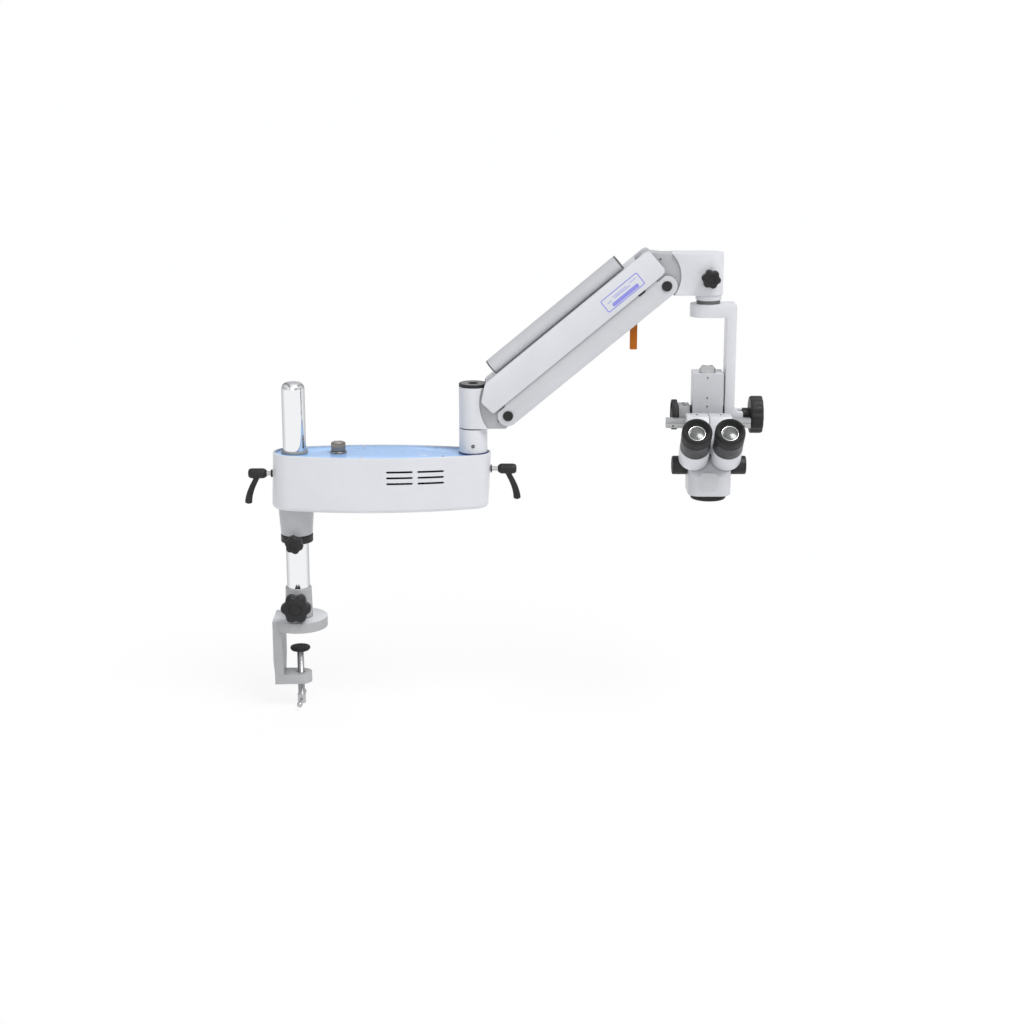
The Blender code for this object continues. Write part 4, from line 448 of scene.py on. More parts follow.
def starKnob(name, node, radius, depth, thick, hub, turn):
    # A lobed grip with rounded faces, a dished middle and a steel stud.
    low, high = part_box(node)
    head = -low.y - thick
    phase = Matrix.Rotation(math.radians(turn), 2)
    outline = [tuple(phase @ Vector(point)) for point in lobedOutline(radius, 6, depth, 20, start=-quarter)]
    neck = radius * 0.42
    levels = [(neck * 0.9, head - hub), (neck, head - hub + 0.001), (neck, head)]
    rounds = ((0.9, 0.0), (0.97, 0.04), (1.0, 0.16), (1.0, 0.7), (0.975, 0.84), (0.92, 0.94), (0.84, 1.0))
    levels += scaledLevels(outline, head, rounds, thick)
    levels += [(neck * share, head + rise * thick) for share, rise in ((1.05, 1.0), (0.98, 0.9), (0.2, 0.88))]
    at = ((low.x + high.x) / 2, 0.0, low.z + radius)
    addPiece(name, shifted(ringStack(levels, "Y"), at), "black", node, node, 42)
    addStud(name, -high.y, head - hub, "Y", at, node)


def twoEnded(half):
    # A turned profile from its middle outwards, repeated the other way.
    return [(radius, -z) for radius, z in reversed(half)] + half


def shaft(radius, low, high, edge=0.0006):
    return [(radius - edge, low), (radius, low + edge), (radius, high - edge), (radius - edge, high)]


def sleeve(outer, inner, low, high, edge):
    return [(inner, low)] + shaft(outer, low, high, edge) + [(inner, high)]


# Table clamp

clampSizes = Sizes(flange=0.0505, cutX=-0.0448, plate=0.0163, half=0.035, top=0.018, jawTop=-0.088, jaw=0.018,
                   jawHalf=0.02, taper=0.03, bevel=0.0014, sink=0.0004, nose=0.004, thread=0.007)


def makeClamp():
    s = clampSizes
    cut = math.acos(s.cutX / s.flange)
    piece = bareObject("clampFrameCasting", extrude(arcPoints(s.flange, 120, start=-cut, end=cut), 0.0, s.top))
    bottom, slab = s.jawTop - s.jaw, s.top - s.sink
    edge = [(s.jawHalf, bottom), (s.jawHalf, s.jawTop), (s.half, s.jawTop + s.taper), (s.half, slab)]
    side = [(-y, z) for y, z in reversed(edge)] + edge
    carve(piece, extrude(side, s.cutX, s.cutX + s.plate, "YZ"), "UNION")
    carve(piece, block((s.cutX, -s.half, 0.0), (-0.02, s.half, slab)), "UNION")
    nose = arcPoints(s.jawHalf, 40, start=-quarter, end=quarter)
    nose += [(s.cutX + s.nose, s.jawHalf), (s.cutX + s.nose, -s.jawHalf)]
    carve(piece, extrude(nose, bottom + s.sink, s.jawTop), "UNION")
    drill(piece, s.thread, bottom - past, s.jawTop + past)
    bevelled(piece, s.bevel)
    dress(piece, "castGreyAndShade", "clamp", "clamp_frame")
    # The face that shows from above gets the light enamel, and the sides keep the darker grey as painted shade.
    piece.data.materials.append(finishes["paint"][1])
    for face in piece.data.polygons:
        if face.normal.z > 0.9 and face.center.z > s.top - 0.001:
            face.material_index = 1


threadSizes = Sizes(radius=0.0064, depth=0.0009, pitch=0.002, sides=28, steps=6, head=0.018)


def threadedRod(low, high):
    # A true helical thread, fading out over its last turn at both ends.
    s = threadSizes
    rows = int((high - low) / s.pitch * s.steps)
    rings = []
    for row in range(rows + 1):
        z = low + (high - low) * row / rows
        fade = min(1.0, (z - low) / s.pitch, (high - z) / s.pitch)
        ring = []
        for i in range(s.sides):
            phase = (z / s.pitch - i / s.sides) % 1.0
            reach = s.radius - s.depth * fade * abs(2.0 * phase - 1.0)
            ring.append((*polar(reach, math.tau * i / s.sides), z))
        rings.append(ring)
    return loftRings(rings)


padSizes = Sizes(edge=0.002, lip=0.0028, grooves=(0.013, 0.009, 0.005), groove=0.0005, deep=0.0006)
ballSize = 0.0051


def makeClampScrew():
    low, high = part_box("clamp_screw")
    top = low.z + threadSizes.head
    head = [(0.004, low.z), (0.0072, low.z), (0.0075, low.z + 0.0015), (0.0075, top - 0.001), (0.0062, top)]
    screw = joinMeshes(lathe(softened(head, 0.0006), 48), threadedRod(top - 0.0005, high.z))
    addPiece("clampScrewThread", screw, "steel", "clamp_screw", "clamp_screw", 30)
    low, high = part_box("tommy_bar")
    end = high.y
    half = [(0.003, end - 0.008), (ballSize * 0.75, end - 0.007), (ballSize, end - 0.0052), (ballSize, end - 0.0026),
            (ballSize * 0.7, end - 0.0008), (0.0008, end)]
    bar = lathe(softened(twoEnded(half), 0.0006, 2), 32, "Y")
    at = (0.0, 0.0, (low.z + high.z) / 2)
    addPiece("tommyBarPolished", shifted(bar, at), "steel", "tommy_bar", "tommy_bar", 40)
    s = padSizes
    low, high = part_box("clamp_pad")
    radius, top = high.x, high.z
    profile = [(s.edge, low.z), (radius - s.edge, low.z), (radius, low.z + s.lip), (radius, top - 0.0016),
               (radius - 0.0006, top - 0.001), (radius - 0.0006, top - 0.0002), (radius - 0.0012, top)]
    for groove in s.grooves:
        profile += [(groove + s.groove, top), (groove, top - s.deep), (groove - s.groove, top)]
    addPiece("clampPadRubber", lathe(profile + [(0.001, top)], 72), "rubber", "clamp_pad", "clamp_pad", 35)


columnSizes = Sizes(dome=0.012, edge=0.001, bore=0.0208, socketTop=0.0232, chamfer=0.0012, foot=0.006,
                    setScrew=0.0026, setScrewZ=0.06, setScrewIn=0.965)


def makeColumn():
    s = columnSizes
    low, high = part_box("column")
    radius, shoulder = high.x, high.z - s.dome
    profile = [(radius - s.edge, low.z), (radius, low.z + s.edge)]
    profile += [(radius, low.z + (shoulder - low.z) * i / 6) for i in range(1, 7)]
    angles = [quarter * i / 14 for i in range(1, 15)]
    profile += [(radius - s.dome * (1 - math.cos(a)), shoulder + s.dome * math.sin(a)) for a in angles]
    profile.append((0.0004, high.z + 0.00001))
    addPiece("columnPolished", lathe(profile), "chrome", "clamp", "column", 50)
    low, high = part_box("column_socket")
    profile = [(s.bore, low.z), (high.x, low.z), (high.x, low.z + s.foot), (s.socketTop, high.z - s.chamfer),
               (s.socketTop - s.chamfer, high.z), (s.bore, high.z)]
    turned("columnSocketTurned", profile, "castGreyAndShade", "clamp", "column_socket", soft=0.0008, sharp=40)
    for degrees in (35, 145):
        angle = math.radians(degrees)
        at = (*polar(high.x * s.setScrewIn, angle), s.setScrewZ)
        turn = Matrix.Rotation(angle - quarter, 4, "Z")
        socketScrew("socketSetScrew" + str(degrees), at, "-Y", s.setScrew, "clamp", turn=turn)


bossSizes = Sizes(foot=0.0268, side=0.028, neck=0.026, chamfer=0.0012)


def makeCollarAndBoss():
    s = bossSizes
    bore = columnSizes.bore
    low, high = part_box("stop_collar")
    turned("stopCollarTurned", sleeve(high.x, bore, low.z, high.z, 0.001), "black", "stop_collar", "stop_collar",
           soft=0.0004)
    low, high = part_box("swivel_boss")
    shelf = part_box("housing_shell")[0].z - gap
    profile = [(bore, low.z), (s.foot, low.z), (s.side, low.z + s.chamfer), (high.x, shelf), (s.neck, shelf),
               (s.neck, high.z), (bore, high.z)]
    turned("swivelBossTurned", profile, "boss", "housing", "swivel_boss", soft=0.0006)
    low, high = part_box("column_ring")
    profile = [(bore, low.z), (high.x, low.z), (high.x, high.z - s.chamfer), (high.x - s.chamfer, high.z),
               (bore, high.z)]
    turned("columnRingTurned", profile, "ringGrey", "housing", "column_ring", soft=0.0004)
    starKnob("socketKnobGrip", "socket_knob", radius=0.027, depth=0.0048, thick=0.02, hub=0.006, turn=30.0)
    starKnob("collarKnobGrip", "collar_knob", radius=0.0165, depth=0.0022, thick=0.014, hub=0.006, turn=12.0)


makeClamp()
makeClampScrew()
makeColumn()
makeCollarAndBoss()
print("stage: clamp and column made")


# Lamp housing

shellSizes = Sizes(postX=0.3142, half=0.056, rimLeft=0.038, rimRight=0.031, footLeft=0.042, footRight=0.026,
                   wall=0.003, rounding=0.008, rimRound=0.0009, bore=0.0263, studHole=0.0043, studReach=0.012,
                   studLeft=-0.04, studRight=0.345, hollowRound=0.004)


def boatOutline(left, right, wide):
    # Two end arcs joined by long bowed sides that meet them smoothly.
    span = shellSizes.postX

    def footOf(end, big):
        return math.sqrt((wide - end) * (2 * big - end - wide))

    low, high = wide, 20.0
    for _ in range(60):
        big = (low + high) / 2
        if footOf(left, big) + footOf(right, big) < span:
            low = big
        else:
            high = big
    middleX = footOf(left, big)
    drop = big - wide
    leftAngle = math.atan2(drop, -middleX)
    rightAngle = math.atan2(drop, span - middleX)
    top = arcPoints(big, 44, (middleX, -drop), rightAngle, leftAngle)
    outline = arcPoints(right, 40, (span, 0.0), -rightAngle, rightAngle)
    outline += top[1:-1] + arcPoints(left, 44, (0.0, 0.0), leftAngle, math.tau - leftAngle)
    return outline + [(x, -y) for x, y in reversed(top)][1:-1]


def shellSection(share, inset=0.0):
    s = shellSizes
    left = s.footLeft + (s.rimLeft - s.footLeft) * share
    right = s.footRight + (s.rimRight - s.footRight) * share
    return boatOutline(left - inset, right - inset, s.half - inset)


ventSizes = Sizes(left=0.1637, length=0.046, pitchX=0.054, top=0.2956, pitchZ=0.0104, height=0.0034, reach=0.07)


def ventCutters():
    s = ventSizes
    half = s.height / 2
    slots = []
    for place in range(6):
        left = s.left + place // 3 * s.pitchX
        z = s.top - place % 3 * s.pitchZ
        outline = arcPoints(half, 9, (left + s.length - half, z), -quarter, quarter)
        outline += arcPoints(half, 9, (left + half, z), quarter, 3 * quarter)
        slots.append(extrude(outline, -s.reach, s.reach, "XZ"))
    return joinMeshes(*slots)


# Left and right: the way a lever's axis points, where its hub starts, its height and where its collar starts.
leverSizes = Sizes(hub=0.009, length=0.033, drop=0.056, sweep=0.02, start=0.014, collar=0.007, root=0.001,
                   wide=0.0046, widens=0.0022, deep=0.0052, thins=0.0008, tip=0.93, voxel=0.0006,
                   left=("-X", -0.05, 0.281, -0.0402), right=("X", 0.3572, 0.2897, 0.3443))


def makeShell():
    s = shellSizes
    low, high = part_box("housing_shell")
    height = high.z - low.z
    rows = []
    for i in range(9):
        angle = quarter * i / 8
        level = s.rounding * (1 - math.cos(angle))
        rows.append((level / height, s.rounding * (1 - math.sin(angle)), low.z + level))
    rows += [(share, 0.0, low.z + share * height) for share in (0.3, 0.55, 0.8, 1.0 - s.rimRound / height)]
    for i in range(1, 4):
        angle = quarter * i / 3
        rows.append((1.0, s.rimRound * (1 - math.cos(angle)), high.z - s.rimRound * (1 - math.sin(angle))))
    hollow = [(min(level / height, 1.0), inset, low.z + level) for level, inset in
              ((s.wall, s.wall + s.hollowRound), (s.wall + s.hollowRound, s.wall),
               (height, s.wall), (height + past, s.wall))]
    outside, inside = [loftRings([[(x, y, z) for x, y in shellSection(share, inset)] for share, inset, z in part])
                       for part in (rows, hollow)]
    piece = bareObject("housingShellEnamelled", outside)
    carve(piece, inside)
    drill(piece, s.bore, low.z - past, low.z + 0.02, sides=72)
    carve(piece, ventCutters())
    for x, z in ((s.studLeft, leverSizes.left[2]), (s.studRight, leverSizes.right[2])):
        drill(piece, s.studHole, -s.studReach, s.studReach, (x, 0.0, z), "X", 32)
    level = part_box("top_cover")[1].z - gap
    build = bmesh.new()
    build.from_mesh(piece.data)
    geometry = build.verts[:] + build.edges[:] + build.faces[:]
    bmesh.ops.bisect_plane(build, geom=geometry, plane_co=(0.0, 0.0, level), plane_no=(0.0, 0.0, 1.0))
    build.to_mesh(piece.data)
    build.free()
    dress(piece, "paint", "housing", "housing_shell", 34)
    paintInside(piece, low.z, level)


def paintInside(piece, floor, level):
    # The shell's inner faces, the vent slots' walls and its inner floor look in on its hollow, and are painted near
    # black as painted shade.
    s = shellSizes
    piece.data.materials.append(finishes["inside"][1])
    for face in piece.data.polygons:
        centre = face.center
        if centre.z > level or centre.z < floor + s.wall - 0.0005:
            continue
        spine = Vector((min(max(centre.x, 0.0), s.postX), 0.0, centre.z))
        facesIn = face.normal.dot(centre - spine) < -1e-5
        inSlot = abs(face.normal.z) > 0.9 and floor + 0.01 < centre.z < level - 0.006
        if facesIn or inSlot or (face.normal.z > 0.9 and abs(centre.z - floor - s.wall) < 0.0005):
            face.material_index = 1


lidSizes = Sizes(share=0.97, column=0.0213, post=0.0203, bevel=0.0004, screw=0.0024,
                 screws=((0.12, 0.04), (0.245, 0.034), (0.12, -0.04), (0.262, -0.03)),
                 markLow=(0.2215, -0.0215), markHigh=(0.2345, -0.0185), print=0.00008)


def makeCover():
    s = lidSizes
    low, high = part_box("top_cover")
    outline = shellSection(s.share, shellSizes.wall + gap)
    piece = bareObject("topCoverEnamelled", extrude(outline, low.z, high.z))
    holes = [shifted(lathe([(radius, low.z - past), (radius, high.z + past)], 72), (x, 0.0, 0.0))
             for radius, x in ((s.column, 0.0), (s.post, shellSizes.postX))]
    carve(piece, joinMeshes(*holes))
    bevelled(piece, s.bevel, 2, 50)
    dress(piece, "blue", "housing", "top_cover")
    # A small plain printed mark, and four countersunk screws that hold the cover.
    dash = block((*s.markLow, high.z), (*s.markHigh, high.z + s.print))
    addPiece("coverPrintedMark", dash, "whitePrint", "housing")
    screwRow("coverScrew", [(x, y, high.z + proud) for x, y in s.screws], "Z", s.screw, "housing", "steel")


dialSizes = Sizes(x=0.077, radius=0.0127, skirt=0.0145, height=0.019, flutes=30, groove=0.0006, pointer=0.0004,
                  ticks=11, tick=0.00022, inner=0.0014, outer=0.0026, longer=0.0034, lift=0.00028, first=-225, step=27)


def makeDial():
    s = dialSizes
    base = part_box("brightness_knob")[1].z - s.height
    grip = lobedOutline(s.radius, s.flutes, s.groove, 6, 1.0)
    levels = [(s.skirt - 0.0003, 0.0), (s.skirt, 0.0004), (s.skirt, 0.0022), (s.skirt - 0.0008, 0.003),
              (s.radius - 0.0006, 0.0033)]
    levels += scaledLevels(grip, 0.0, ((0.985, 0.0037), (1.0, 0.0044)))
    levels += scaledLevels(grip, s.height, ((1.0, 0.0018), (0.975, 0.001)), -1.0)
    levels += [(s.radius - inset, s.height - drop) for inset, drop in
               ((0.0014, 0.0006), (0.002, 0.0), (0.0036, 0.0), (0.004, 0.0004), (s.radius - 0.001, 0.0004))]
    at = (s.x, 0.0, base)
    addPiece("brightnessKnobTurned", shifted(ringStack(levels, "Z"), at), "knobMetal", "brightness_knob",
             "brightness_knob", 32)
    half = s.pointer
    pointer = block((-half, -s.radius + 0.0006, s.height - 0.00045), (half, -0.004, s.height + 0.00004))
    addPiece("brightnessPointer", shifted(pointer, at), "whitePrint", "brightness_knob")
    ticks = []
    for i in range(s.ticks):
        turn = Matrix.Rotation(math.radians(s.first + s.step * i), 4, "Z")
        reach = s.skirt + (s.longer if i % 5 == 0 else s.outer)
        tick = block((s.skirt + s.inner, -s.tick, 0.0), (reach, s.tick, lidSizes.print))
        ticks.append(shifted(tick, (s.x, 0.0, base - s.lift), turn))
    addPiece("brightnessScale", joinMeshes(*ticks), "whitePrint", "housing")


def makeLever(end):
    # One moulded grip: a hub in line with its stud, and a blade that sweeps down and out.
    s = leverSizes
    name, node = end + "Lever", end + "_lever"
    axis, start, z, wall = s[end]
    side = 1.0 if axis == "X" else -1.0
    hub = [(0.0038, 0.0), (s.hub * 0.62, 0.0), (s.hub * 0.96, 0.0046), (s.hub, 0.0065), (s.hub, s.length - 0.007),
           (s.hub * 0.93, s.length - 0.003), (s.hub * 0.72, s.length - 0.0006), (s.hub * 0.35, s.length),
           (0.0006, s.length)]
    at = (start, 0.0, z)
    piece = bareObject(name + "Grip", shifted(lathe(softened(hub, 0.0015), 48, axis), at))
    rings = []
    steps = 26
    for i in range(steps + 1):
        t = i / steps
        lean = math.atan2(s.sweep * quarter * math.cos(t * quarter), s.drop)
        centreX = s.start + s.sweep * math.sin(t * quarter)
        centreZ = -s.root - (s.drop - s.root) * t
        endRound = math.sqrt(max(0.0, 1 - max(0.0, (t - s.tip) / (1.0 - s.tip)) ** 2)) * 0.96 + 0.04
        wide = (s.wide + s.widens * t ** 1.5) * endRound
        deep = (s.deep - s.thins * t) * endRound
        rings.append([(start + side * (centreX + wide * x * math.cos(lean)), deep * y,
                       z + centreZ + wide * x * math.sin(lean)) for x, y in arcPoints(1.0, 28)])
    carve(piece, loftRings(rings), "UNION")
    modified(piece, "REMESH", mode="VOXEL", voxel_size=s.voxel)
    modified(piece, "SMOOTH", factor=0.6, iterations=8)
    dress(piece, "black", node, node, 60)
    addStud(name, -0.03, 0.001, axis, at, node)
    turned(name + "Collar", sleeve(s.collar, 0.004, 0.0, 0.0025, 0.0005), "blackSatin", node, at=(wall, 0.0, z),
           axis=axis, sides=48)


makeShell()
makeCover()
makeDial()
makeLever("left")
makeLever("right")
print("stage: housing made")


# Arm post

postSizes = Sizes(x=0.3142, radius=0.0248, seam=0.3645, top=0.4375, bearing=0.02, spindle=0.0103, cutRadius=0.08,
                  cutX=0.4055, cutZ=0.4112, step=0.0032, cap=0.0088, chamfer=0.0012, inlay=0.0006, edge=0.0006,
                  screwZ=0.3351, webScrew=(0.3588, 0.3791))
armSizes = Sizes(angle=39.8, length=0.3534, offset=0.046, lowerX=0.3752, lowerZ=0.3896, pin=0.0053, webHalf=0.0215,
                 foot=0.014, ear=0.017)


def pivotPoints():
    s = armSizes
    angle = math.radians(s.angle)
    along = Vector((math.cos(angle), 0.0, math.sin(angle))) * s.length
    across = Vector((-math.sin(angle), 0.0, math.cos(angle))) * s.offset
    lowerLeft = Vector((s.lowerX, 0.0, s.lowerZ))
    return {"lowerLeft": lowerLeft, "upperLeft": lowerLeft + across, "lowerRight": lowerLeft + along,
            "upperRight": lowerLeft + across + along}


pivots = pivotPoints()


def armTurn():
    return Matrix.Rotation(-math.radians(armSizes.angle), 4, "Y")


def onArm(build, corner):
    # Turns a shape drawn along +X up to the arm's angle, with its start at a pivot.
    return shifted(build, pivots[corner], armTurn())


def ear(corner, radius, start, end, count=33):
    centre = pivots[corner]
    return arcPoints(radius, count, (centre.x, centre.z), math.radians(start), math.radians(end))


def makePost():
    s = postSizes
    place = (s.x, 0.0, 0.0)
    bore = s.spindle + gap
    low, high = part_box("post_base")
    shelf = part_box("post_ring")[1].z + gap
    profile = [(bore, low.z), (s.bearing - s.step, low.z), (s.bearing, low.z + 0.004), (s.bearing, shelf),
               (s.radius, shelf), (s.radius, high.z), (bore, high.z)]
    turned("postBaseEnamelled", profile, "paint", "housing", "post_base", place, 0.0007)
    socketScrew("postBaseScrew", (s.x, -s.radius - 0.0002, s.screwZ), "Y", 0.003, "housing")
    low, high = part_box("post_ring")
    ring = sleeve(s.radius + 0.0008, s.bearing + gap, low.z, high.z, s.edge)
    turned("postRingTurned", ring, "navy", "housing", "post_ring", place)
    low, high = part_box("thrust_washer")
    ring = sleeve(s.radius - s.chamfer, bore, low.z, high.z, 0.0003)
    turned("thrustWasherTurned", ring, "blackSatin", "arm_post", "thrust_washer", place)
    low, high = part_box("post_cap")
    floor = high.z - s.inlay
    profile = [(s.cap, low.z), (s.radius - 0.0003, low.z), (s.radius, low.z + 0.0004), (s.radius, high.z - s.chamfer),
               (s.radius - s.chamfer, high.z), (s.radius - 0.003, high.z), (s.radius - s.step, floor),
               (s.cap + 0.0006, floor), (s.cap, high.z - s.chamfer)]
    turned("postCapMoulded", profile, "black", "arm_post", "post_cap", place)
    inlay = sleeve(s.radius - 0.0034, s.cap + 0.0005, floor, high.z - 0.0001, 0.0002)
    turned("postCapInlay", inlay, "smoke", "arm_post", at=place)
    # A near-black disc in the cap's bore hides the spindle: painted shade in the bore.
    plug = lathe([(s.cap - 0.0002, low.z), (s.cap - 0.0002, low.z + s.chamfer)], 48)
    addPiece("postCapShadeDisc", shifted(plug, place), "inside", "arm_post")


def addWeb(name, outline, body, corners, screw, at):
    # The casting between the arm's sides, in a darker copy of the enamel as painted shade for its recess, with a screw
    # on each face.
    half = armSizes.webHalf
    piece = bareObject(name, extrude(outline, -half, half, "XZ"))
    carve(piece, joinMeshes(*[shifted(lathe([(armSizes.pin, -0.04), (armSizes.pin, 0.04)], 40, "Y"), pivots[corner])
                              for corner in corners]))
    bevelled(piece, 0.0006)
    dress(piece, "web", body)
    for side in (-1, 1):
        spot = (at[0], side * (half + proud), at[1])
        socketScrew(screw + "Y" + str(side), spot, "Y" if side < 0 else "-Y", 0.0016, body)


def makeArmPost():
    s = postSizes
    low = s.seam + 0.001
    outline = arcPoints(s.radius, 60, (s.x, 0.0), quarter, 3 * quarter)
    outline += [(s.x + 0.028, -s.radius), (s.x + 0.028, s.radius)]
    post = bareObject("armPostEnamelled", extrude(outline, low, s.top))
    drill(post, s.cutRadius, -0.05, 0.05, (s.cutX, 0.0, s.cutZ), "Y", 200)
    bore = s.spindle + gap
    drill(post, bore, low - past, s.top + past, (s.x, 0.0, 0.0))
    bevelled(post, s.edge)
    dress(post, "paint", "arm_post", "arm_post")
    left = s.x + bore + 0.0004
    web = [(left, low + gap), (pivots["lowerLeft"].x - 0.004, low + gap)]
    web += ear("lowerLeft", armSizes.foot, -60, 60) + ear("upperLeft", armSizes.ear, 40, 108)
    web += [(s.x + s.radius + 0.001, s.top - gap), (left, s.top - gap)]
    addWeb("armPostWeb", web, "arm_post", ("lowerLeft", "upperLeft"), "armPostWebScrew", s.webScrew)


# Spring arm

coverSizes = Sizes(inner=0.029, outer=0.0315, below=0.026, above=0.0235, sheet=0.0025, clearance=0.014, bevel=0.0007)


def placeOnArm(piece, corner):
    piece.data.transform(Matrix.Translation(pivots[corner]) @ armTurn())


def makeUpperCover():
    s = coverSizes
    length = armSizes.length
    reach, deep = 0.05, 0.06
    right = [(0.004, -s.below), (0.012, -0.024), (0.0155, -0.019), (0.0145, 0.017), (0.012, 0.0215), (0.006, s.above)]
    left = [(0.0085, s.above), (0.0045, 0.0222), (-0.0185, 0.004), (-0.0195, 0.001), (-0.017, -0.023)]
    outline = [(-0.014, -s.below)] + [(length + x, z) for x, z in right] + left
    piece = bareObject("upperCoverEnamelled", extrude(outline, -s.outer, s.outer, "XZ"))
    for start, end, top in ((-reach, length + reach, s.above - s.sheet), (-reach, 0.0066, deep),
                            (length - s.clearance, length + reach, deep)):
        carve(piece, block((start, -s.inner, -deep), (end, s.inner, top)))
    bevelled(piece, s.bevel, 3, 25)
    placeOnArm(piece, "upperLeft")
    dress(piece, "paint", "upper_link", "upper_cover")


labelSizes = Sizes(left=0.2485, right=0.3285, low=-0.0178, high=0.0072, line=0.0017, corner=0.003, thick=0.00012,
                   bars=((0.262, -0.015, 0.318, -0.0085), (0.272, -0.004, 0.306, -0.0028),
                         (0.27, -0.0008, 0.3, 0.0002), (0.256, -0.0045, 0.266, -0.0035),
                         (0.308, 0.0, 0.322, 0.001)))


def roundedBox(left, low, right, high, corner):
    outline = []
    for x, z, start in ((right - corner, low + corner, -90), (right - corner, high - corner, 0),
                        (left + corner, high - corner, 90), (left + corner, low + corner, 180)):
        outline += arcPoints(corner, 8, (x, z), math.radians(start), math.radians(start + 90))
    return outline


def makeLabel():
    # A plain printed border with blank bars where the real arm has its label.
    s = labelSizes
    level = -coverSizes.outer
    outer, inner = [roundedBox(s.left + line, s.low + line, s.right - line, s.high - line, s.corner - line)
                    for line in (0.0, s.line)]
    rings = [[(x, y, z) for x, z in outline] for outline, y in
             ((outer, level), (outer, level - s.thick), (inner, level - s.thick), (inner, level))]
    parts = [loftRings(rings, True)]
    for left, low, right, high in s.bars:
        parts.append(extrude(roundedBox(left, low, right, high, (high - low) * 0.3), level - s.thick, level, "XZ"))
    addPiece("armLabelPrint", onArm(joinMeshes(*parts), "upperLeft"), "print", "upper_link")


linkSizes = Sizes(inner=0.0237, outer=0.0262, end=0.018, topEdge=0.0156, slotX=0.5925, slotHalf=0.018,
                  slotSide=0.0032, slotShift=0.0175, rise=0.0055, bevel=0.0006,
                  notches=(0.007, 0.011, 0.03, 0.0345, 0.0465, 0.052), cap=0.0088, capFace=0.0066)


def makeLowerLink():
    s = linkSizes
    length = armSizes.length
    start = math.asin(s.topEdge / s.end)
    outline = arcPoints(s.end, 33, (0.0, 0.0), math.pi - start, 3 * quarter)
    outline += arcPoints(s.end, 33, (length, 0.0), -quarter, start)
    # The wall rises behind the cover, clear of the right pin and of a notch beside it.
    low, top = s.topEdge, s.topEdge + s.rise
    outline += [(length - back, level) for back, level in zip(s.notches, (low, top, top, low, low, top))]
    outline += [(0.012, top), (0.006, low)]
    piece = bareObject("lowerLinkEnamelled", extrude(outline, -s.outer, s.outer, "XZ"))
    slot = (s.slotX - armSizes.lowerX) / math.cos(math.radians(armSizes.angle)) - s.slotShift
    reach = 0.05
    for start, end, side, low, top in (
            (-reach, length + reach, s.inner, -s.end + coverSizes.sheet, reach),
            (-reach, coverSizes.clearance, s.inner, -reach, reach),
            (length - coverSizes.clearance, length + reach, s.inner, -reach, reach),
            (slot - s.slotHalf, slot + s.slotHalf, s.slotSide, -reach, 0.0)):
        carve(piece, block((start, -side, low), (end, side, top)))
    for x in (0.0, length):
        drill(piece, armSizes.pin, -reach, reach, (x, 0.0, 0.0), "Y", 40)
    bevelled(piece, s.bevel, 3, 35)
    placeOnArm(piece, "lowerLeft")
    dress(piece, "link", "lower_link", "lower_link")
    inner = s.outer + gap
    outer = inner + 0.002
    half = [(0.005, inner), (s.cap, inner), (s.cap, outer - 0.0006), (s.cap - 0.0006, outer), (s.capFace, outer),
            (s.capFace - 0.0006, outer - 0.0004), (0.0005, outer - 0.0004)]
    for node, corner in (("lower_left_pin", "lowerLeft"), ("lower_right_pin", "lowerRight")):
        cap = shifted(lathe(twoEnded(half), 64, "Y"), pivots[corner])
        addPiece(corner + "PinCaps", cap, "black", "lower_link", node, 30)


tubeSizes = Sizes(radius=0.0135, wall=0.0015, start=0.033, length=0.281, side=-0.014, cap=0.002, dish=0.0075)


def makeSpringTube():
    s = tubeSizes
    place = Vector((0.0, s.side, coverSizes.above + gap + s.radius))
    inner = s.radius - s.wall
    tube = lathe(sleeve(s.radius, inner, s.start, s.start + s.length, 0.0004), 72, "X", True)
    addPiece("springTubeEnamelled", onArm(shifted(tube, place), "upperLeft"), "tube", "upper_link", "spring_tube")
    plug = inner - gap
    profile = [(plug - 0.0004, -0.006), (plug, -0.0055), (plug, 0.0), (s.radius, 0.0), (s.radius, s.cap - 0.0007),
               (s.radius - 0.0007, s.cap), (s.dish, s.cap), (s.dish - 0.0005, s.cap - 0.0005),
               (0.0006, s.cap - 0.0005)]
    for end, axis, x in (("left", "-X", s.start - gap), ("right", "X", s.start + s.length + gap)):
        cap = shifted(lathe(profile, 72, axis), (x, place.y, place.z))
        addPiece(end + "TubeCapTurned", onArm(cap, "upperLeft"), "smoke", "upper_link", end + "_tube_cap", 30)
    refined("tube_saddle", "tube", "upper_link", 0.0003)
    for node in ("balance_spring", "upper_left_pin", "upper_right_pin"):
        refined(node, "steel", "upper_link")


lockSizes = Sizes(longer=0.0045, round=0.002, half=0.002, edge=0.0006, pin=0.003)


def makeLockLever():
    s = lockSizes
    low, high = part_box("lock_lever")
    half = (high.x - low.x) / 2
    x, z = (low.x + high.x) / 2, high.z - half
    foot, side = low.z - s.longer + s.round, half - s.round
    outline = arcPoints(half, 28, (x, z), 0.0, math.pi)
    outline += arcPoints(s.round, 8, (x - side, foot), math.pi, 3 * quarter)
    outline += arcPoints(s.round, 8, (x + side, foot), 3 * quarter, math.tau)
    blade = bareObject("lockLeverBlade", extrude(outline, -s.half, s.half, "XZ"))
    bevelled(blade, s.edge)
    dress(blade, "orange", "lock_lever", "lock_lever")
    pin = lathe(shaft(s.pin, low.y, high.y, 0.0005), 32, "Y")
    addPiece("lockLeverPin", shifted(pin, (x, 0.0, z)), "steel", "lock_lever")


makePost()
makeArmPost()
makeUpperCover()
makeLabel()
makeLowerLink()
makeSpringTube()
makeLockLever()
print("stage: arm made")


# Head block, swivel and yoke

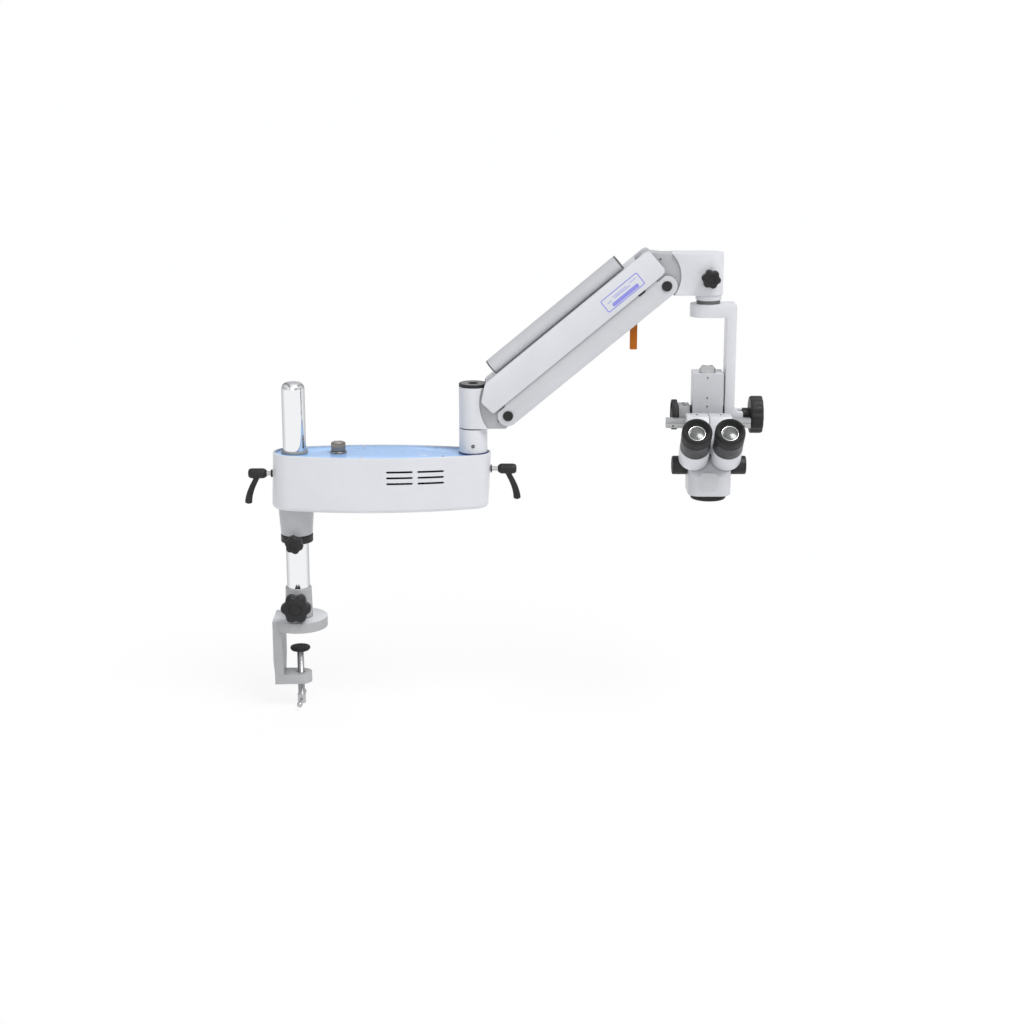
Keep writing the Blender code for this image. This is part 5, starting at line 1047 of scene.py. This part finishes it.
headSizes = Sizes(x=0.7205, radius=0.0248, bottom=0.599, top=0.6703, reach=0.075, roof=0.012, cutRadius=0.054,
                  cutX=0.617, cutZ=0.6324, ear=0.0215, inset=0.03, knobZ=0.6298, pin=0.012, ring=0.0225, neck=0.005,
                  sink=0.0004, webScrew=(0.635, 0.6613))


def makeHeadBlock():
    s = headSizes
    outline = arcPoints(s.radius, 60, (s.x, 0.0), -quarter, quarter)
    outline += [(s.x - s.reach, s.radius), (s.x - s.reach, -s.radius)]
    piece = bareObject("headBlockEnamelled", extrude(outline, s.bottom, s.top))
    drill(piece, s.cutRadius, -0.05, 0.05, (s.cutX, 0.0, s.cutZ), "Y", 180)
    drill(piece, s.pin + gap, s.bottom - past, s.top - s.roof, (s.x, 0.0, 0.0))
    drill(piece, shellSizes.studHole, 0.008, 0.04, (s.x, 0.0, s.knobZ), "Y", 28)
    bevelled(piece, 0.0008)
    dress(piece, "paint", "head_block", "head_block")
    foot = armSizes.foot
    low, high = s.bottom + s.sink, s.top - s.sink
    web = ear("upperRight", s.ear, 90, 235, 48) + ear("lowerRight", foot, 225, 270, 16)
    web += [(pivots["lowerRight"].x + foot, low), (s.x - s.inset, low), (s.x - s.inset, high),
            (pivots["upperRight"].x + s.ear, high)]
    addWeb("headBlockWeb", web, "head_block", ("lowerRight", "upperRight"), "headWebScrew", s.webScrew)
    starKnob("headKnobMoulded", "head_knob", radius=0.0165, depth=0.0024, thick=0.014, hub=0.005, turn=20.0)


def makeSwivel():
    s = headSizes
    place = (s.x, 0.0, 0.0)
    low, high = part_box("swivel_ring")
    bore, shoulder = s.pin + gap, low.z + s.neck
    neck = sleeve(s.ring - 0.002, bore, low.z, shoulder + 0.001, 0.0003)
    turned("swivelNeck", neck, "smoke", "yoke", at=place)
    profile = [(bore, shoulder + s.sink), (s.ring - 0.0022, shoulder + s.sink), (s.ring, shoulder + 0.002),
               (s.ring, high.z), (bore, high.z)]
    turned("swivelRingEnamelled", profile, "paint", "yoke", "swivel_ring", place, 0.0006)
    low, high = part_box("swivel_spindle")
    pin = lathe(shaft(s.pin, low.z, high.z), 64)
    addPiece("swivelSpindleTurned", shifted(pin, place), "steel", "yoke", "swivel_spindle")


yokeSizes = Sizes(left=0.689, barLeft=0.7514, barRight=0.7686, footRight=0.784, half=0.02, fillet=0.01,
                  corner=0.003, shaft=0.0083, tilt=0.387, footTop=0.3945, plate=0.023, nick=0.0015, bevel=0.001)


def makeYoke():
    s = yokeSizes
    low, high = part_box("yoke")
    plate = high.z - s.plate
    outline = [(s.left, plate), (s.barLeft - s.nick, plate), (s.barLeft, plate - s.nick), (s.barLeft, low.z),
               (s.footRight, low.z), (s.footRight, s.footTop)]
    outline += arcPoints(s.fillet, 10, (s.barRight + s.fillet, s.footTop + s.fillet), -quarter, -math.pi)
    outline += arcPoints(s.corner, 8, (s.barRight - s.corner, high.z - s.corner), 0.0, quarter)
    piece = bareObject("yokeEnamelled", extrude(outline + [(s.left, high.z)], -s.half, s.half, "XZ"))
    reach, wide = s.footRight + past, s.half + 0.005
    plan = arcPoints(s.half, 49, (s.left + s.half, 0.0), quarter, 3 * quarter) + [(reach, -wide), (reach, wide)]
    carve(piece, extrude(plan, low.z - past, high.z + past), "INTERSECT")
    bevelled(piece, s.bevel, 3, 35)
    drill(piece, headSizes.pin + gap, plate - past, high.z + past, (headSizes.x, 0.0, 0.0))
    drill(piece, s.shaft, s.barLeft - past, reach, (0.0, 0.0, s.tilt), "X")
    dress(piece, "paint", "yoke", "yoke")


tiltSizes = Sizes(radius=0.033, lobes=12, depth=0.0016, left=0.797, shorter=0.003, pin=0.0077, stub=0.0118,
                  rounds=((0.9, 0.0), (0.955, 0.0004), (0.985, 0.0014), (1.0, 0.0032)))


def makeTiltKnob():
    s = tiltSizes
    low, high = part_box("tilt_knob")
    end = high.x - s.shorter
    start = yokeSizes.footRight + gap
    outline = lobedOutline(s.radius, s.lobes, s.depth, 10, start=-quarter)
    levels = [(s.pin - 0.0006, low.x), (s.pin, low.x + 0.0006), (s.pin, start), (s.stub - 0.0005, start),
              (s.stub, start + 0.0005), (s.stub, s.left)]
    levels += scaledLevels(outline, s.left, s.rounds) + scaledLevels(outline, end, reversed(s.rounds), -1.0)
    levels += [(radius, end - depth) for radius, depth in
               ((0.0245, 0.0), (0.0238, 0.0008), (0.01, 0.0008), (0.0094, 0.0003), (0.002, 0.0003))]
    knob = shifted(ringStack(levels, "X"), (0.0, 0.0, yokeSizes.tilt))
    addPiece("tiltKnobMoulded", knob, "black", "tilt_knob", "tilt_knob", 42)


makeHeadBlock()
makeSwivel()
makeYoke()
makeTiltKnob()
print("stage: head block and yoke made")


# Tilt and focus carriage

focusSizes = Sizes(front=-0.024, slideFront=-0.0205, slideThick=0.0074, slideHalf=0.0143, taper=0.003, shaft=0.008,
                   washer=0.0165, moreLeft=0.0034, moreRight=0.006, topDrop=0.0035,
                   screws=(0.4568, 0.4209, 0.4062), screw=0.0014, seam=0.02, seamWide=0.0012)
railSizes = Sizes(pad=0.0187, back=-0.0272, groove=0.009, grooveHalf=0.0008, grooveDeep=0.0012, bottomRise=0.0072,
                  topRise=0.0018, pinIn=0.012, pinDrop=0.0052)
tiltAxis = (0.0, 0.0, yokeSizes.tilt)
shaftSpan = (0.65, 0.85)


def dovetail(spare):
    s = focusSizes
    x = headSizes.x
    front, back = s.slideFront - spare, s.slideFront + s.slideThick + spare
    narrow, wide = s.slideHalf - s.taper + spare, s.slideHalf + spare
    return [(x - narrow, front), (x + narrow, front), (x + wide, back), (x - wide, back)]


def makeFocusHousing():
    s = focusSizes
    low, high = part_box("focus_housing")
    low, high = low - Vector((s.moreLeft, 0.0, 0.0)), high + Vector((s.moreRight, 0.0, -s.topDrop))
    piece = bareObject("focusHousingEnamelled", block(low, high))
    bevelled(piece, 0.0012, 4)
    for node in ("left_friction_washer", "right_friction_washer"):
        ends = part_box(node)
        drill(piece, s.washer + gap, ends[0].x - gap, ends[1].x + gap, tiltAxis, "X", 72)
    carve(piece, extrude(dovetail(gap), low.z - past, high.z + past))
    drill(piece, s.shaft + gap, *shaftSpan, tiltAxis, "X")
    dress(piece, "tube", "carriage", "focus_housing")
    screwRow("focusHousingScrew", [(headSizes.x, s.front - proud, z) for z in s.screws], "Y", s.screw, "carriage")
    seam = block((high.x - 0.0003, low.y + s.seam, low.z + 0.004),
                 (high.x - 0.0002, low.y + s.seam + s.seamWide, high.z - 0.004))
    addPiece("focusHousingSeam", seam, "smoke", "carriage")


def makeRail():
    s = railSizes
    low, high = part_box("handle_rail")
    low, high = low + Vector((0.0, 0.0, s.bottomRise)), high + Vector((0.0, 0.0, s.topRise))
    left, right = headSizes.x - s.pad, headSizes.x + s.pad
    outline = [(low.x, low.y), (high.x, low.y), (high.x, s.back), (right, s.back), (right, high.y), (left, high.y),
               (left, s.back), (low.x, s.back)]
    piece = bareObject("handleRailMilled", extrude(outline, low.z, high.z))
    level = low.z + s.groove
    carve(piece, block((low.x - past, low.y - past, level - s.grooveHalf),
                       (high.x + past, low.y + s.grooveDeep, level + s.grooveHalf)))
    bevelled(piece, 0.0005, 2)
    dress(piece, "railMetal", "carriage", "handle_rail")
    for end, x in (("Left", low.x + s.pinIn), ("Right", high.x - s.pinIn)):
        pin = lathe([(0.0016, 0.0), (0.0016, 0.0004), (0.0012, 0.0007)], 32, "Y")
        addPiece("railPin" + end, shifted(pin, (x, low.y + proud, level - s.pinDrop)), "darkSteel", "carriage")


wheelSizes = Sizes(radius=0.0265, flutes=44, groove=0.0006, right=0.6705, hub=0.0077,
                   rounds=((0.955, 0.0), (0.985, 0.0005), (1.0, 0.0016)))
blockSizes = Sizes(rise=0.0021, bevel=0.0012, screws=(-0.011, 0.011), screw=0.0021)


def makeCarriageParts():
    s = blockSizes
    low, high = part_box("left_bearing_block")
    piece = bareObject("bearingBlockEnamelled", block(low + Vector((0.0, 0.0, s.rise)), high))
    bevelled(piece, s.bevel)
    drill(piece, focusSizes.shaft + gap, *shaftSpan, tiltAxis, "X")
    dress(piece, "castGreyAndShade", "carriage", "left_bearing_block")
    x = (low.x + high.x) / 2
    screwRow("bearingBlockScrew", [(x, y, high.z + proud) for y in s.screws], "Z", s.screw, "carriage")
    for side in ("left", "right"):
        low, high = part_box(side + "_friction_washer")
        washer = sleeve(focusSizes.washer, focusSizes.shaft + gap, low.x, high.x, 0.0003)
        turned(side + "FrictionWasherTurned", washer, "blackSatin", "carriage", side + "_friction_washer", tiltAxis,
               axis="X", sides=72)
    low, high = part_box("tilt_shaft")
    rod = lathe(shaft(focusSizes.shaft, low.x, high.x), 64, "X")
    addPiece("tiltShaftTurned", shifted(rod, tiltAxis), "steel", "carriage", "tilt_shaft")
    s = wheelSizes
    low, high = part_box("focus_wheel")
    rim = lobedOutline(s.radius, s.flutes, s.groove, 6, 1.0)
    left, right = low.x, s.right
    levels = [(0.008, left + 0.001), (0.0088, left + 0.0012), (0.0206, left + 0.0012), (0.0214, left)]
    levels += scaledLevels(rim, left, s.rounds) + scaledLevels(rim, right, reversed(s.rounds), -1.0)
    levels += [(s.hub, right), (s.hub, high.x - 0.0005), (s.hub - 0.0005, high.x)]
    addPiece("focusWheelMoulded", shifted(ringStack(levels, "X"), tiltAxis), "black", "focus_wheel", "focus_wheel", 34)


makeFocusHousing()
makeRail()
makeCarriageParts()
print("stage: focus carriage made")


# Scope

slideSizes = Sizes(side=0.002, round=0.0045, flat=0.0022, shoulder=0.006, footHalf=0.0103, footBack=0.003,
                   footTop=0.045, screws=(0.714, 0.727), screw=0.0013)


def makeSlide():
    s = slideSizes
    low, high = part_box("focus_slide")
    x, front = headSizes.x, focusSizes.slideFront
    piece = bareObject("focusSlideMilled", extrude(dovetail(0.0), low.z, high.z))
    left, right, top = low.x - s.side, high.x + s.side, high.z - s.round
    inset = s.round + s.flat
    face = [(left, low.z - 0.002), (right, low.z - 0.002), (right, high.z - s.shoulder)]
    face += arcPoints(s.round, 10, (high.x - inset, top), 0.0, quarter)
    face += arcPoints(s.round, 10, (low.x + inset, top), quarter, math.pi)
    carve(piece, extrude(face + [(left, high.z - s.shoulder)], -0.05, 0.02, "XZ"), "INTERSECT")
    foot = block((x - s.footHalf, low.y, low.z + 0.0004), (x + s.footHalf, front + s.footBack, low.z + s.footTop))
    carve(piece, foot, "UNION")
    bevelled(piece, 0.0004, 2)
    dress(piece, "railMetal", "scope", "focus_slide", 35)
    y = front + focusSizes.slideThick / 2
    screwRow("focusSlideScrew", [(x, y, high.z + proud) for x in s.screws], "Z", s.screw, "scope")


scopeSizes = Sizes(half=0.0368, corner=0.02, backCorner=0.006, lens=0.0237, lip=0.0018, opticalY=-0.077,
                   zoomZ=0.3145, zoomShaft=0.006, zoom=0.016, zoomReach=0.0635, bevel=0.0018, ring=0.0306,
                   plaque=(-0.0195, 0.2765, 0.0135, 0.3085), plaqueCorner=0.008)
eyeSizes = Sizes(spacing=0.0556, faceY=-0.15, faceZ=0.391, tube=0.0258, front=-0.052, end=-0.0884, barrel=0.0255,
                 stem=0.0148)


def bodyPlan(low, high):
    s = scopeSizes
    corner, small = s.corner, s.backCorner
    plan = arcPoints(corner, 20, (low.x + corner, low.y + corner), math.pi, 3 * quarter)
    plan += arcPoints(corner, 20, (high.x - corner, low.y + corner), 3 * quarter, math.tau)
    plan += arcPoints(small, 8, (high.x - small, high.y - small), 0.0, quarter)
    return plan + arcPoints(small, 8, (low.x + small, high.y - small), quarter, math.pi)


def makeBody():
    s = scopeSizes
    low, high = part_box("scope_body")
    x = headSizes.x
    # The top's front slopes down along the eye tubes' lower ends.
    slope = eyeSizes.faceZ - eyeSizes.faceY + math.sqrt(2.0) * eyeSizes.end - 0.0011
    side = [(high.y, low.z), (high.y, high.z), (high.z - slope, high.z), (low.y, low.y + slope), (low.y, low.z)]
    piece = bareObject("scopeBodyEnamelled", extrude(side, low.x, high.x, "YZ"))
    carve(piece, extrude(bodyPlan(low, high), low.z - past, high.z + past), "INTERSECT")
    bevelled(piece, s.bevel, 4, 30)
    drill(piece, s.lens - s.lip, low.z - past, low.z + 0.02, (x, s.opticalY, 0.0), sides=72)
    drill(piece, s.zoomShaft + gap, low.x - past, high.x + past, (0.0, s.opticalY, s.zoomZ), "X", 40)
    # The body takes the darker link enamel, a painted shade copy of the light enamel.
    dress(piece, "link", "scope", "scope_body")
    left, bottom, right, top = s.plaque
    outline = roundedBox(x + left, bottom, x + right, top, s.plaqueCorner)
    piece = bareObject("scopePlaque", extrude(outline, low.y - 0.0004, low.y + 0.0002, "XZ"))
    bevelled(piece, 0.0002, 2)
    dress(piece, "plaque", "scope")


def makeObjective():
    s = scopeSizes
    place = (headSizes.x, s.opticalY, 0.0)
    low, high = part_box("objective_ring")
    bore, outer, lip = s.lens + gap, s.ring, s.lens + gap - s.lip
    seat = high.z - s.lip
    profile = [(radius, low.z + rise) for radius, rise in
               ((bore, 0.0012), (bore + 0.0012, 0.0), (outer - 0.0018, 0.0), (outer - 0.0006, 0.0008),
                (outer, 0.003), (outer, 0.0046), (outer - 0.0005, 0.0049), (outer - 0.0005, 0.0055),
                (outer, 0.0058))]
    profile += [(outer, high.z), (lip, high.z), (lip, seat), (bore, seat)]
    turned("objectiveRingTurned", profile, "black", "scope", "objective_ring", place, 0.0003, sides=120, sharp=30)
    low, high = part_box("objective_lens")
    rim = high.z - 0.0035
    profile = [(0.0006, low.z)]
    profile += [(s.lens * share, rim - (rim - low.z) * (1.0 - share * share)) for share in
                (0.2, 0.35, 0.5, 0.65, 0.8, 0.92, 1.0)]
    glass = shifted(lathe(profile + [(s.lens, high.z)]), place)
    addPiece("objectiveGlass", glass, "objectiveLens", "scope", "objective_lens", 30)
    inner, radius, reach = s.half + gap, s.zoom, s.zoomReach
    half = [(s.zoomShaft, inner), (radius - 0.0016, inner), (radius - 0.0005, inner + 0.0005), (radius, inner + 0.0016),
            (radius, reach - 0.0024), (radius - 0.0007, reach - 0.0007), (radius - 0.0024, reach),
            (0.0102, reach), (0.0096, reach - 0.0006), (0.0008, reach - 0.0006)]
    knobs = shifted(lathe(twoEnded(half), axis="X"), (headSizes.x, s.opticalY, s.zoomZ))
    addPiece("zoomKnobsMoulded", knobs, "black", "zoom_knobs", "zoom_knobs", 34)


def inEye(build, side):
    # Turns a shape drawn about an eye tube's own axis into its place.
    s = eyeSizes
    place = (headSizes.x + side * s.spacing / 2, s.faceY, s.faceZ)
    return shifted(build, place, Matrix.Rotation(math.radians(45.0), 4, "X"))


prismSizes = Sizes(half=0.039, back=-0.0413, bevel=0.0016, screwX=0.0205, screwY=-0.056, screw=0.0017,
                   slope=((-0.0925, 0.373), (-0.1055, 0.3445)), topFront=-0.072, footStep=0.002)


def makeEyeTube(name, side):
    # The prism housing with the tube that meets it, and a shallow seam between them.
    s = eyeSizes
    p = prismSizes
    node = name + "_eye_tube"
    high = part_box(node)[1]
    x = headSizes.x
    walls = sorted((x + side * gap, x + side * p.half))
    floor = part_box("scope_body")[1].z + gap
    level = s.faceZ - s.faceY + math.sqrt(2.0) * s.end
    profile = [(p.back, floor), (p.back, high.z), (p.topFront, high.z), *p.slope, (floor - level - p.footStep, floor)]
    piece = bareObject(name + "PrismHousing", extrude(profile, *walls, "YZ"))
    bevelled(piece, p.bevel, 4, 15)
    profile = [(s.tube - 0.0012, s.end + 0.0006), (s.tube, s.end + 0.0018), (s.tube, s.front - 0.0009),
               (s.tube - 0.0009, s.front)]
    carve(piece, inEye(lathe(softened(profile, 0.0006)), side), "UNION")
    bore = s.stem + gap
    carve(piece, inEye(lathe([(bore, s.front - 0.024), (bore, s.front + past)], 64), side))
    dress(piece, "paint", name + "_eye", node, 32)
    socketScrew(name + "PrismScrew", (x + side * p.screwX, p.screwY, high.z + proud), "Z", p.screw, name + "_eye")


eyecup = [(0.0175, -0.0198), (0.0251, -0.0198), (0.0256, -0.0193), (0.0258, -0.0186), (0.0258, -0.006),
          (0.0255, -0.0036), (0.0246, -0.0015), (0.0232, -0.0003), (0.0218, 0.0), (0.0207, -0.001), (0.0194, -0.0032),
          (0.0182, -0.0058), (0.0168, -0.0078), (0.0152, -0.0087), (0.015, -0.009), (0.015, -0.015)]
eyeRing = [(0.0129, -0.0124), (0.0149, -0.0124), (0.0149, -0.0092), (0.0146, -0.0087), (0.0139, -0.0084),
           (0.0133, -0.0087), (0.0129, -0.0094)]


def makeEyepiece(name, side):
    s = eyeSizes
    body = name + "_eyepiece"
    back = s.front + gap
    barrel = [(s.stem - 0.0006, back - 0.02), (s.stem, back - 0.0194), (s.stem, back), (s.barrel - 0.0006, back),
              (s.barrel, back + 0.0006), (s.barrel, -0.0226), (s.barrel - 0.0005, -0.022), (0.0243, -0.0218),
              (0.0243, -0.0196), (0.02, -0.0168)]
    glass = [(0.014, -0.0157), (0.014, -0.0125)]
    glass += [(0.0128 * share, -0.0097 - 0.0024 * share * share) for share in (1.0, 0.85, 0.7, 0.55, 0.4, 0.25, 0.1)]
    glass += [(0.0003, -0.0097)]
    for part, profile, finish, stands, sharp in (
            ("Barrel", barrel, "charcoal", body, 30), ("Cup", eyecup, "rubber", "", 50),
            ("Ring", eyeRing, "brightRing", "", 50), ("Glass", glass, "lens", name + "_eye_lens", 40)):
        build = inEye(lathe(profile, closed=part in ("Cup", "Ring")), side)
        addPiece(name + "Eyepiece" + part, build, finish, body, stands, sharp)


# A bent sheet beside the lamp, which also stops the view through the vents; it is near black as painted shade.
shieldSizes = Sizes(start=0.166, end=0.27, half=0.0008, lip=0.012, foot=0.2705, sheet=0.0015, top=0.301)


def makeLamp():
    s = shieldSizes
    # The lamp module takes the dark smoke finish as painted shade, so that it shows dark through the vents.
    refined("lamp_module", "smoke", "housing", 0.0003)
    bend = [(-s.half, s.foot), (s.lip, s.foot), (s.lip, s.foot + s.sheet), (s.half, s.foot + s.sheet), (s.half, s.top),
            (-s.half, s.top)]
    addPiece("lampShieldPaintedShade", extrude(bend, s.start, s.end, "YZ"), "inside", "housing", "", 40)


makeSlide()
makeBody()
makeObjective()
for name, side in (("left", -1.0), ("right", 1.0)):
    makeEyeTube(name, side)
    makeEyepiece(name, side)
makeLamp()
print("stage: scope made")


# Stage, light and camera

skyStops = ((0.0, 0.55), (0.16, 0.95), (0.3, 0.3), (0.42, 0.98), (0.66, 1.0), (0.78, 0.35), (0.9, 0.9), (1.0, 0.6))
white = (1.0, 1.0, 1.0, 1.0)


def whiteWorld():
    # White for the camera, soft grey light for the scene, and darker flanks for polished metal to show.
    world = bpy.data.worlds.new("studio")
    bpy.context.scene.world = world
    world.use_nodes = True
    tree = world.node_tree
    soft = tree.nodes["Background"]
    wire(soft, {"Color": (0.97, 0.98, 1.0, 1.0), "Strength": 0.56})
    place = addNode(tree, "TexCoord").outputs["Generated"]
    across = addNode(tree, "SeparateXYZ", {"Vector": place}).outputs["X"]
    ramp = addNode(tree, "ValToRGB", {"Fac": remap(tree, across, 0.0, 1.0, -1.0, 1.0)})
    elements = ramp.color_ramp.elements
    while len(elements) < len(skyStops):
        elements.new(0.5)
    for element, (position, level) in zip(elements, skyStops):
        element.position = position
        element.color = (level, level, level * 1.02, 1.0)
    mirrored = addNode(tree, "Background", {"Color": ramp.outputs["Color"], "Strength": 0.9})
    seen = addNode(tree, "Background", {"Color": white, "Strength": 1.0})
    path = addNode(tree, "LightPath").outputs
    first = addNode(tree, "MixShader", {"Fac": path["Is Glossy Ray"], 1: soft.outputs[0], 2: mirrored.outputs[0]})
    second = addNode(tree, "MixShader", {"Fac": path["Is Camera Ray"], 1: first.outputs[0], 2: seen.outputs[0]})
    wire(tree.nodes["World Output"], {"Surface": second.outputs[0]})


stageSizes = Sizes(floor=40.0, below=0.004, glow=0.86)


def makeFloor():
    s = stageSizes
    level = cadBox[0][2] - s.below
    build = bmesh.new()
    corners = ((-1, -1), (1, -1), (1, 1), (-1, 1))
    build.faces.new([build.verts.new((x * s.floor, y * s.floor, level)) for x, y in corners])
    floor = bareObject("paleFloor", build)
    pale = (0.93, 0.93, 0.935)
    made, tree, shader = startMaterial("paleFloor", pale, 0.85)
    drift = remap(tree, noiseFrom(tree, 1.5, 2.0), 0.0, 1.0)
    wire(shader, {"Base Color": mixColours(tree, drift, pale, (0.925, 0.927, 0.932))})
    # White where it is seen, straight or mirrored, with a share left for the shadow.
    path = addNode(tree, "LightPath").outputs
    straight = addNode(tree, "Math", {0: path["Is Camera Ray"], 1: path["Is Glossy Ray"]}, operation="ADD")
    seen = addNode(tree, "Math", {0: straight.outputs[0], 1: path["Is Transmission Ray"]}, operation="ADD",
                   use_clamp=True)
    glow = addNode(tree, "Emission", {"Color": white, "Strength": 1.0})
    share = remap(tree, seen.outputs[0], 0.0, s.glow, 0.0, 1.0)
    blend = addNode(tree, "MixShader", {"Fac": share, 1: shader.outputs[0], 2: glow.outputs[0]})
    wire(tree.nodes["Material Output"], {"Surface": blend.outputs[0]})
    floor.data.materials.append(made)


def addObject(name, data, turn, place=(0.0, 0.0, 0.0)):
    made = bpy.data.objects.new(name, data)
    made.location = place
    made.rotation_euler = [math.radians(angle) for angle in turn]
    bpy.context.scene.collection.objects.link(made)
    return made


def addSun(name, energy, turn, softness):
    data = bpy.data.lights.new(name, "SUN")
    data.energy = energy
    data.angle = math.radians(softness)
    addObject(name, data, turn)


cameraSizes = Sizes(place=(0.38214, -3.34159, 1.09327), turn=(75.2, 0.0, 0.0), lens=68.55, film=36.0)


def makeCamera():
    s = cameraSizes
    data = bpy.data.cameras.new("photoView")
    data.lens = s.lens
    data.sensor_width = s.film
    bpy.context.scene.camera = addObject("photoView", data, s.turn, s.place)


bpy.context.scene.view_settings.view_transform = "Standard"
whiteWorld()
makeFloor()
addSun("keySun", 1.85, (33.0, 0.0, 44.0), 30.0)
addSun("fillSun", 0.27, (66.0, 0.0, -12.0), 60.0)
makeCamera()
print("stage: light and camera set")
